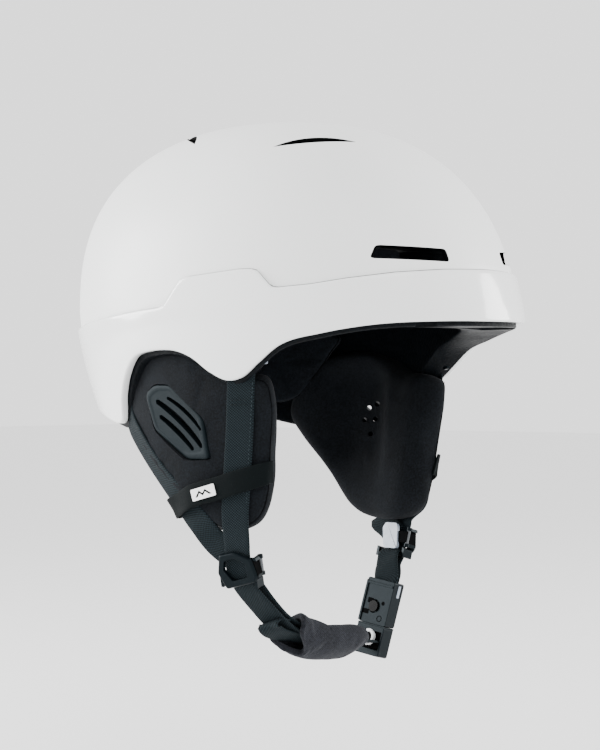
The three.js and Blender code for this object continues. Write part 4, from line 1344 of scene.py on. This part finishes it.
def add_chin_straps():
    """The two chin straps, each looped round its divider's bar."""
    loop = bar_loop("right")
    bar = tuple(DIVIDER_ACROSS)
    path = [(16.2, 38, -180.8)] + CHIN_PATH[::-1] + loop + [
        (19.6, -58, -149.5), (20.3, -46, -160.8), (20.8, -36, -166.6)
    ]
    across = [(1, 0, 0)] + CHIN_ACROSS[::-1] + [bar] * len(loop) + [bar, (0.95, 0.1, 0.25), (0.92, 0, 0.36)]
    obj = strap("chin_webbing_right", path, across, 15.4, 1.3, 1.1)
    finish(obj, "chin", "webbing", ["chin_strap_right"], degrees=50)

    loop = bar_loop("left")
    bar = (0.985, -0.17, 0)
    wide = tuple(BUCKLE_ACROSS)
    path = [on_buckle((0, 12.4, -1)), on_buckle((0.8, 21.5, -0.4)), (15.9, 59, -140)] + loop
    path += [(15.6, 56.8, -137.6), on_buckle((0.8, 21, 1.2)), on_buckle((0, 12.4, 1.2))]
    across = [wide, wide, bar] + [bar] * len(loop) + [bar, wide, wide]
    obj = strap("chin_webbing_left", path, across, 15.4, 1.3, 1.0)
    finish(obj, "helmet", "webbing", ["chin_strap_left"], degrees=50)


def add_strap_fold():
    """The chin strap's sewn end, folded back where it leaves the chin cushion."""
    path = [
        (20, -30, -172.5), (20, -42, -170.6), (20, -50.5, -167.6), (20, -53.4, -164.6),
        (20.2, -50.6, -162.4), (20.4, -44, -163.8),
    ]
    across = [(0.92, 0, 0.36)] * 4 + [(0.94, 0, 0.3)] * 2
    obj = strap("chin_webbing_fold", path, across, 14.6, 1.3, 0.9)
    finish(obj, "chin", "webbing", degrees=50)


def add_chin_cushion():
    """A padded sleeve round the strap: closed near the buckle, open with a pointed flap at the other end."""
    path = [
        (21, -40, -166.4), (21, -30, -171.4), (21, -14, -175.8), (20.3, 8, -178), (18.8, 20, -177.6),
        (18, 30, -177.2),
    ]
    across = [
        (0.88, 0.05, 0.42), (0.86, 0, 0.5), (0.86, 0, 0.5), (0.88, 0, 0.46), (0.92, 0, 0.38), (0.97, 0, 0.2)
    ]
    frames = strap_frames(path, across, 56)
    around = 48
    last = len(frames) - 1
    points, faces = [], []
    rows = []
    for wall in (0, 1):
        for k, (centre, side, face, _) in enumerate(frames):
            share = k / last
            close = 1 - 0.55 * max(0.0, (share - 0.72) / 0.28) ** 2
            width, height = 12.6 * close, (8.7 - 0.8 * share) * close
            if wall:
                width, height = width - 3.0, height - 2.9
            row = []
            for m in range(around):
                turn = 2 * math.pi * m / around
                x = width * signed_power(math.cos(turn), 0.82)
                y = height * signed_power(math.sin(turn), 0.82)
                opening = 1 - min(1.0, share / 0.3)
                wrapped = (turn + math.pi / 2) % (2 * math.pi) - math.pi / 2
                flap = 17 * math.exp(-((wrapped - 1.72) / 0.6) ** 2)
                back = 4 * math.exp(-((wrapped - 4.6) / 0.8) ** 2)
                back += 4 * math.exp(-((wrapped + 1.7) / 0.8) ** 2)
                along = np.cross(side, face)
                row.append(centre + side * x + face * y + along * (flap + back) * opening)
            rows.append(row)
    inner = rows[len(frames):][::-1]
    loops = rows[:len(frames)] + inner
    for row in loops:
        points.extend(row)
    total = len(loops)
    for k in range(total):
        after = (k + 1) % total
        for m in range(around):
            n = (m + 1) % around
            faces.append((k * around + m, k * around + n, after * around + n, after * around + m))
    obj = mesh_object("chin_cushion", points, faces)
    held = [
        v.index
        for v in obj.data.vertices if v.index >= (len(frames) - 1) * around or v.index < around * 2
    ]
    puff(obj, held, 0.9)
    subdivide(obj)
    crumple(obj, 9, 0.35, 31)
    finish(obj, "chin", "chin_fabric", ["chin_pad"], degrees=60, padded=0.8)


# ---------------------------------------------------------------- hard parts from the CAD shapes
def soften_node(node, body, slot, width=0.35, look=None, degrees=32):
    """A copy of a CAD piece with its edges rounded as a moulding's are."""
    source = NODES[node]
    data = source.data.copy()
    made = bmesh.new()
    made.from_mesh(data)
    bmesh.ops.remove_doubles(made, verts=made.verts, dist=2e-6)
    bmesh.ops.dissolve_limit(made, angle_limit=math.radians(1.5), verts=made.verts, edges=made.edges)
    made.to_mesh(data)
    made.free()
    obj = bpy.data.objects.new(node + "_moulding", data)
    bpy.context.scene.collection.objects.link(obj)
    soften_edges(obj, width, 28, 3)
    finish(obj, body, slot, [node], look, degrees)
    return obj


def add_hardware():
    for side in SIDES:
        soften_node(f"headband_anchor_{side}", "helmet", "black_plastic", 0.6)
        for node, slot in ((f"headband_{side}", "black_plastic"), (f"ear_pad_tab_{side}", "black_plastic"),
                           (f"lever_pin_{side}", "steel")):
            keep_node(node, slot)
    soften_node("buckle_receiver", "helmet", "black_plastic", 0.45)
    soften_node("buckle_tongue", "chin", "black_plastic", 0.45)
    soften_node("release_button", "button", "black_plastic", 0.45, GLOSS_BLACK)
    soften_node("fit_dial", "dial", "black_plastic", 0.6)
    soften_node("dial_housing", "cradle", "black_plastic", 0.5)
    soften_node("fit_cradle", "cradle", "black_plastic", 0.5)
    for node, slot in (("dial_pinion", "black_plastic"),
                       ("rack_left", "black_plastic"), ("rack_right", "black_plastic"),
                       ("receiver_magnet", "steel"), ("strap_pin", "steel")):
        keep_node(node, slot)


def keep_node(node, slot):
    obj = NODES[node]
    obj.data.materials.clear()
    obj.data.materials.append(LOOKS[slot])


def ring_mesh(name, centre, radius, tube, place, height):
    """A raised ring on a flat face."""
    points, faces = [], []
    steps, sides = 32, 8
    for k in range(steps):
        turn = 2 * math.pi * k / steps
        for m in range(sides):
            angle = 2 * math.pi * m / sides
            reach = radius + tube * math.cos(angle)
            x, y = centre[0] + reach * math.cos(turn), centre[1] + reach * math.sin(turn)
            points.append(in_frame((x, y, height + tube * math.sin(angle)), place))
    for k in range(steps):
        for m in range(sides):
            a, b = k * sides + m, k * sides + (m + 1) % sides
            c, d = (k + 1) % steps * sides + (m + 1) % sides, (k + 1) % steps * sides + m
            faces.append((a, b, c, d))
    return mesh_object(name, points, faces)


def disc(centre, radius, segments=20):
    return [
        (
            centre[0] + radius * math.cos(2 * math.pi * k / segments),
            centre[1] + radius * math.sin(2 * math.pi * k / segments),
        )
        for k in range(segments)
    ]


FINE_EDGE = (0.3, 30, 2)  # width, angle and steps of a small rounded edge


def add_buckle_details():
    """Marks on the receiver's inner face: two slots beside the button, drawn as flat dark plates of painted
    shade, a dot and a ring.
    """
    face = 4.5
    black = "helmet", "black_plastic"
    # The two slots are flat dark plates laid on the face: painted shade in place of their hollows.
    for name, low, high in (("upper", (-6.4, 7.4), (-2.4, 10.4)), ("lower", (-8.6, 0.8), (-4.0, 3.6))):
        outline = rounded_polygon([low, (high[0], low[1]), high, (low[0], high[1])], 0.4)
        plate(f"receiver_slot_shade_{name}", outline, face - 0.2, face + 0.05, BUCKLE, *black, look=DARK)
    plate("receiver_dot", disc((5.0, 8.6), 1.2), face - 0.2, face + 0.06, BUCKLE, *black, look=DARK)
    ring = ring_mesh("receiver_ring", (4.6, -0.4), 1.6, 0.22, BUCKLE, face + 0.02)
    finish(ring, *black, look=DARK, degrees=80)
    # A thin light grey strip on the receiver's side wall near the top: a painted highlight along the edge.
    side = (on_buckle((10, 0, 0)), [BUCKLE_FACE, BUCKLE_UP, -BUCKLE_ACROSS])
    outline = rounded_polygon([(-1.6, 13.5), (0.4, 13.5), (0.4, 20.5), (-1.6, 20.5)], 0.5)
    plate("receiver_edge_highlight", outline, -0.3, 0.3, side, "helmet", "grey_plastic")
    outline = rounded_polygon([(-9.9, -5.6), (9.9, -5.6), (9.9, -4.32), (-9.9, -4.32)], 0.3)
    plate("tongue_lip", outline, -4.4, 4.4, BUCKLE, "chin", "black_plastic")
    for name, outline in (("left", [(-10, -3.6), (-8.7, -3.6), (-8.7, 19), (-10, 20.4)]),
                          ("top", [(-8.9, 18.4), (9.6, 18.4), (9.6, 19.8), (-8.9, 19.8)])):
        plate(f"receiver_rib_{name}", rounded_polygon(outline, 0.3), 4.2, 5.2, BUCKLE, *black, FINE_EDGE)


def add_clip():
    """A flat C of white plastic on the tongue, where the chin strap's end is held."""
    # A flat black block filling the tongue's pocket and hiding the pin and strap end: painted shade in the
    # pocket.
    pocket = [(-8.75, -17.9), (8.75, -17.9), (8.75, -8.1), (-8.75, -8.1)]
    plate("tongue_pocket_painted_shade", pocket, -3.6, 2.9, BUCKLE, "chin", "black_plastic", look=DARK)
    centre, outer, inner = (0.2, -11.8), 4.3, 2.6
    outline = []
    for reach, turns in ((outer, np.linspace(-125, 125, 22)), (inner, np.linspace(125, -125, 22))):
        for turn in np.radians(turns):
            outline.append((centre[0] + reach * math.cos(turn), centre[1] + reach * 1.12 * math.sin(turn)))
    clip = prism("tongue_clip", outline, 3.2, 5.4, BUCKLE)
    soften_edges(clip, 0.45, 40, 3)
    finish(clip, "chin", "grey_plastic", ["strap_clip"], WHITE_CLIP)


def rod(name, place, start, end, radius, sides=20):
    """A round rod between two points of a local frame."""
    start, end = (in_frame(point, place) for point in (start, end))
    along = unit(end - start)
    side = unit(np.cross(along, (0, 0, 1) if abs(along[2]) < 0.9 else (1, 0, 0)))
    up = np.cross(along, side)
    outline = disc((0, 0), radius, sides)
    return prism(name, outline, 0, float(np.linalg.norm(end - start)), (start, [side, up, along]))


def add_divider_frame(side, place):
    """The divider's cross bar, the cheeks that carry it, and the knuckles round the lever's pin."""
    black = "helmet", "black_plastic"
    finish(rod(f"divider_bar_{side}", place, (-11.4, *BAR), (10.4, *BAR), 1.2), *black)
    for name, left, right in (("rear", -12.6, -10.6), ("front", 9.0, 10.8)):
        outline = rounded_polygon([(left, -10.6), (right, -10.6), (right, -5.6), (left, -4.6)], 0.5, 3)
        plate(f"divider_cheek_{name}_{side}", outline, -5.8, 1.2, place, *black, FINE_EDGE)
    for name, low, high in (("upper", 5.1, 7.0), ("lower", -4.4, -2.5)):
        barrel = rod(f"divider_knuckle_{name}_{side}", place, (11.2, low, -4.9), (11.2, high, -4.9), 1.55)
        finish(barrel, *black)
        outline = [(9.9, low), (12.2, low), (12.2 - 0.1 * high, high), (9.9, high)]
        plate(f"divider_web_{name}_{side}", outline, -4.9, 1.3, place, *black, (0.25, 30, 2))
    outline = rounded_polygon([(9.2, 5.8), (10.4, 5.6), (12.4, -3.2), (11.2, -4.0)], 0.3, 3)
    plate(f"divider_guard_{side}", outline, -3.6, 1.5, place, *black, FINE_EDGE, look=DARK)


def add_divider_details(side):
    """The bevelled face of the divider, its side wall, and the thumb lever behind it."""
    place = divider_frame(side)
    rim = [(-10.8, 8.3), (-0.8, 10.6), (9.6, 6.5), (12.2, -3.6), (10.6, -6.8), (-8.6, -11.6), (-13.2, -2.6)]
    window = [(-7.4, 5), (-1.1, 6.9), (5.7, 4.3), (6.4, -3.8), (-3.6, -6.4), (-8.7, -0.2)]
    middle = np.mean(rim, axis=0)
    outline = rounded_polygon(rim, 1.2, 4)
    profile = [(0.9, 0.5), (1.0, 1.3), (0.94, 2.7), (0.9, 3.0)]
    face = stacked(f"divider_face_{side}", outline, middle, profile, place)
    boolean(face, [prism("window_tool", rounded_polygon(window, 1.0, 4), -3, 6, place)])
    soften_edges(face, 0.35, 25, 3)
    finish(face, "helmet", "black_plastic", [f"divider_frame_{side}"], degrees=30)
    add_divider_frame(side, place)
    blade = prism(
        f"lever_blade_{side}",
        rounded_polygon(
            [(-9.4, 6), (-7.6, 9), (1.6, 9), (2.8, 7.4), (5.6, -4.6), (4.6, -6), (-4.4, -6), (-6, -4.8)],
            1.0, 4,
        ),
        -7.4, -5.4, place,
    )
    soften_edges(blade, 0.6, 30, 3)
    finish(blade, f"lever_{side}", "grey_plastic", [f"divider_lever_{side}"], degrees=35)
    arm = rounded_polygon([(1.6, 4.6), (11.6, 4.6), (11.6, -2), (3.2, -2)], 0.6, 3)
    looks = {"look": DARK, "degrees": 35}
    plate(f"lever_arm_{side}", arm, -6.3, -5.2, place, f"lever_{side}", "black_plastic", FINE_EDGE, **looks)


def add_pad_anchor(side):
    """A small tab at the front upper corner of the ear pad, light grey on the right and black on the left:
    one part in two tones, painted light and shade.
    """
    centre = np.array(on_pad(*((44.5, -20.5, 21) if side == "right" else (49, -23, 20)), side))
    forward = unit(np.subtract(on_pad(48.5, -24, 17, side), on_pad(46.5, -24, 17, side)))
    up = np.array((0, 0, 1.0))
    axes = [forward, up, np.cross(forward, up)]
    outline = rounded_polygon([(-2.4, -1.2), (2.6, -0.4), (2.6, 1.6), (-2.4, 1.0)], 0.6, 3)
    # The same tab is light grey on the right and black on the left: painted light and shade, not two real
    # colours.
    slot = "grey_plastic" if side == "right" else "black_plastic"
    plate(f"pad_anchor_{side}", outline, -0.8, 0.8, (centre, axes), "helmet", slot, (0.4, 30, 2), degrees=35)


def add_stitching():
    """Rows of stitches across the front straps, and a row along each front strap's edge."""
    for side in SIDES:
        front = [on_pad(34.5, z, PAD_THICKNESS + 2.2) for z in (-40.5, -43)]
        for k, (x, y, z) in enumerate(sided(front, side)):
            tangent = unit((0.94, 0.34 if side == "right" else -0.34, 0))
            outward = unit(np.cross(tangent, (0, 0, 1))) * (1 if side == "right" else -1)
            line = [np.array((x, y, z)) + tangent * reach for reach in np.linspace(-6, 6, 8)]
            obj = stitches(f"strap_stitch_{side}_{k}", line, [outward] * len(line), 1.7, 0.9, 0.2)
            finish(obj, "helmet", "webbing", look=THREAD, degrees=80)
        edge, normals = [], []
        for z in np.linspace(-31, -104, 30):
            spot = np.array(on_pad(34.5, z, PAD_THICKNESS + 2.05, side))
            tangent = unit((0.94, 0.34 if side == "right" else -0.34, 0))
            outward = unit(np.cross(tangent, (0, 0, 1))) * (1 if side == "right" else -1)
            edge.append(spot + tangent * 6.4)
            normals.append(outward)
        obj = stitches(f"edge_stitch_{side}", edge, normals, 1.1, 1.3, 0.17)
        finish(obj, "helmet", "webbing", look=PALE_THREAD, degrees=80)


add_shell()
add_liner()
add_wall_cushions()
for side_name in SIDES:
    add_ear_cushion(side_name)
    add_grille(side_name)
    add_side_straps(side_name)
    add_label(side_name)
add_chin_straps()
add_strap_fold()
add_chin_cushion()
add_hardware()
add_buckle_details()
add_clip()
for side_name in SIDES:
    add_divider_details(side_name)
    add_pad_anchor(side_name)
add_stitching()
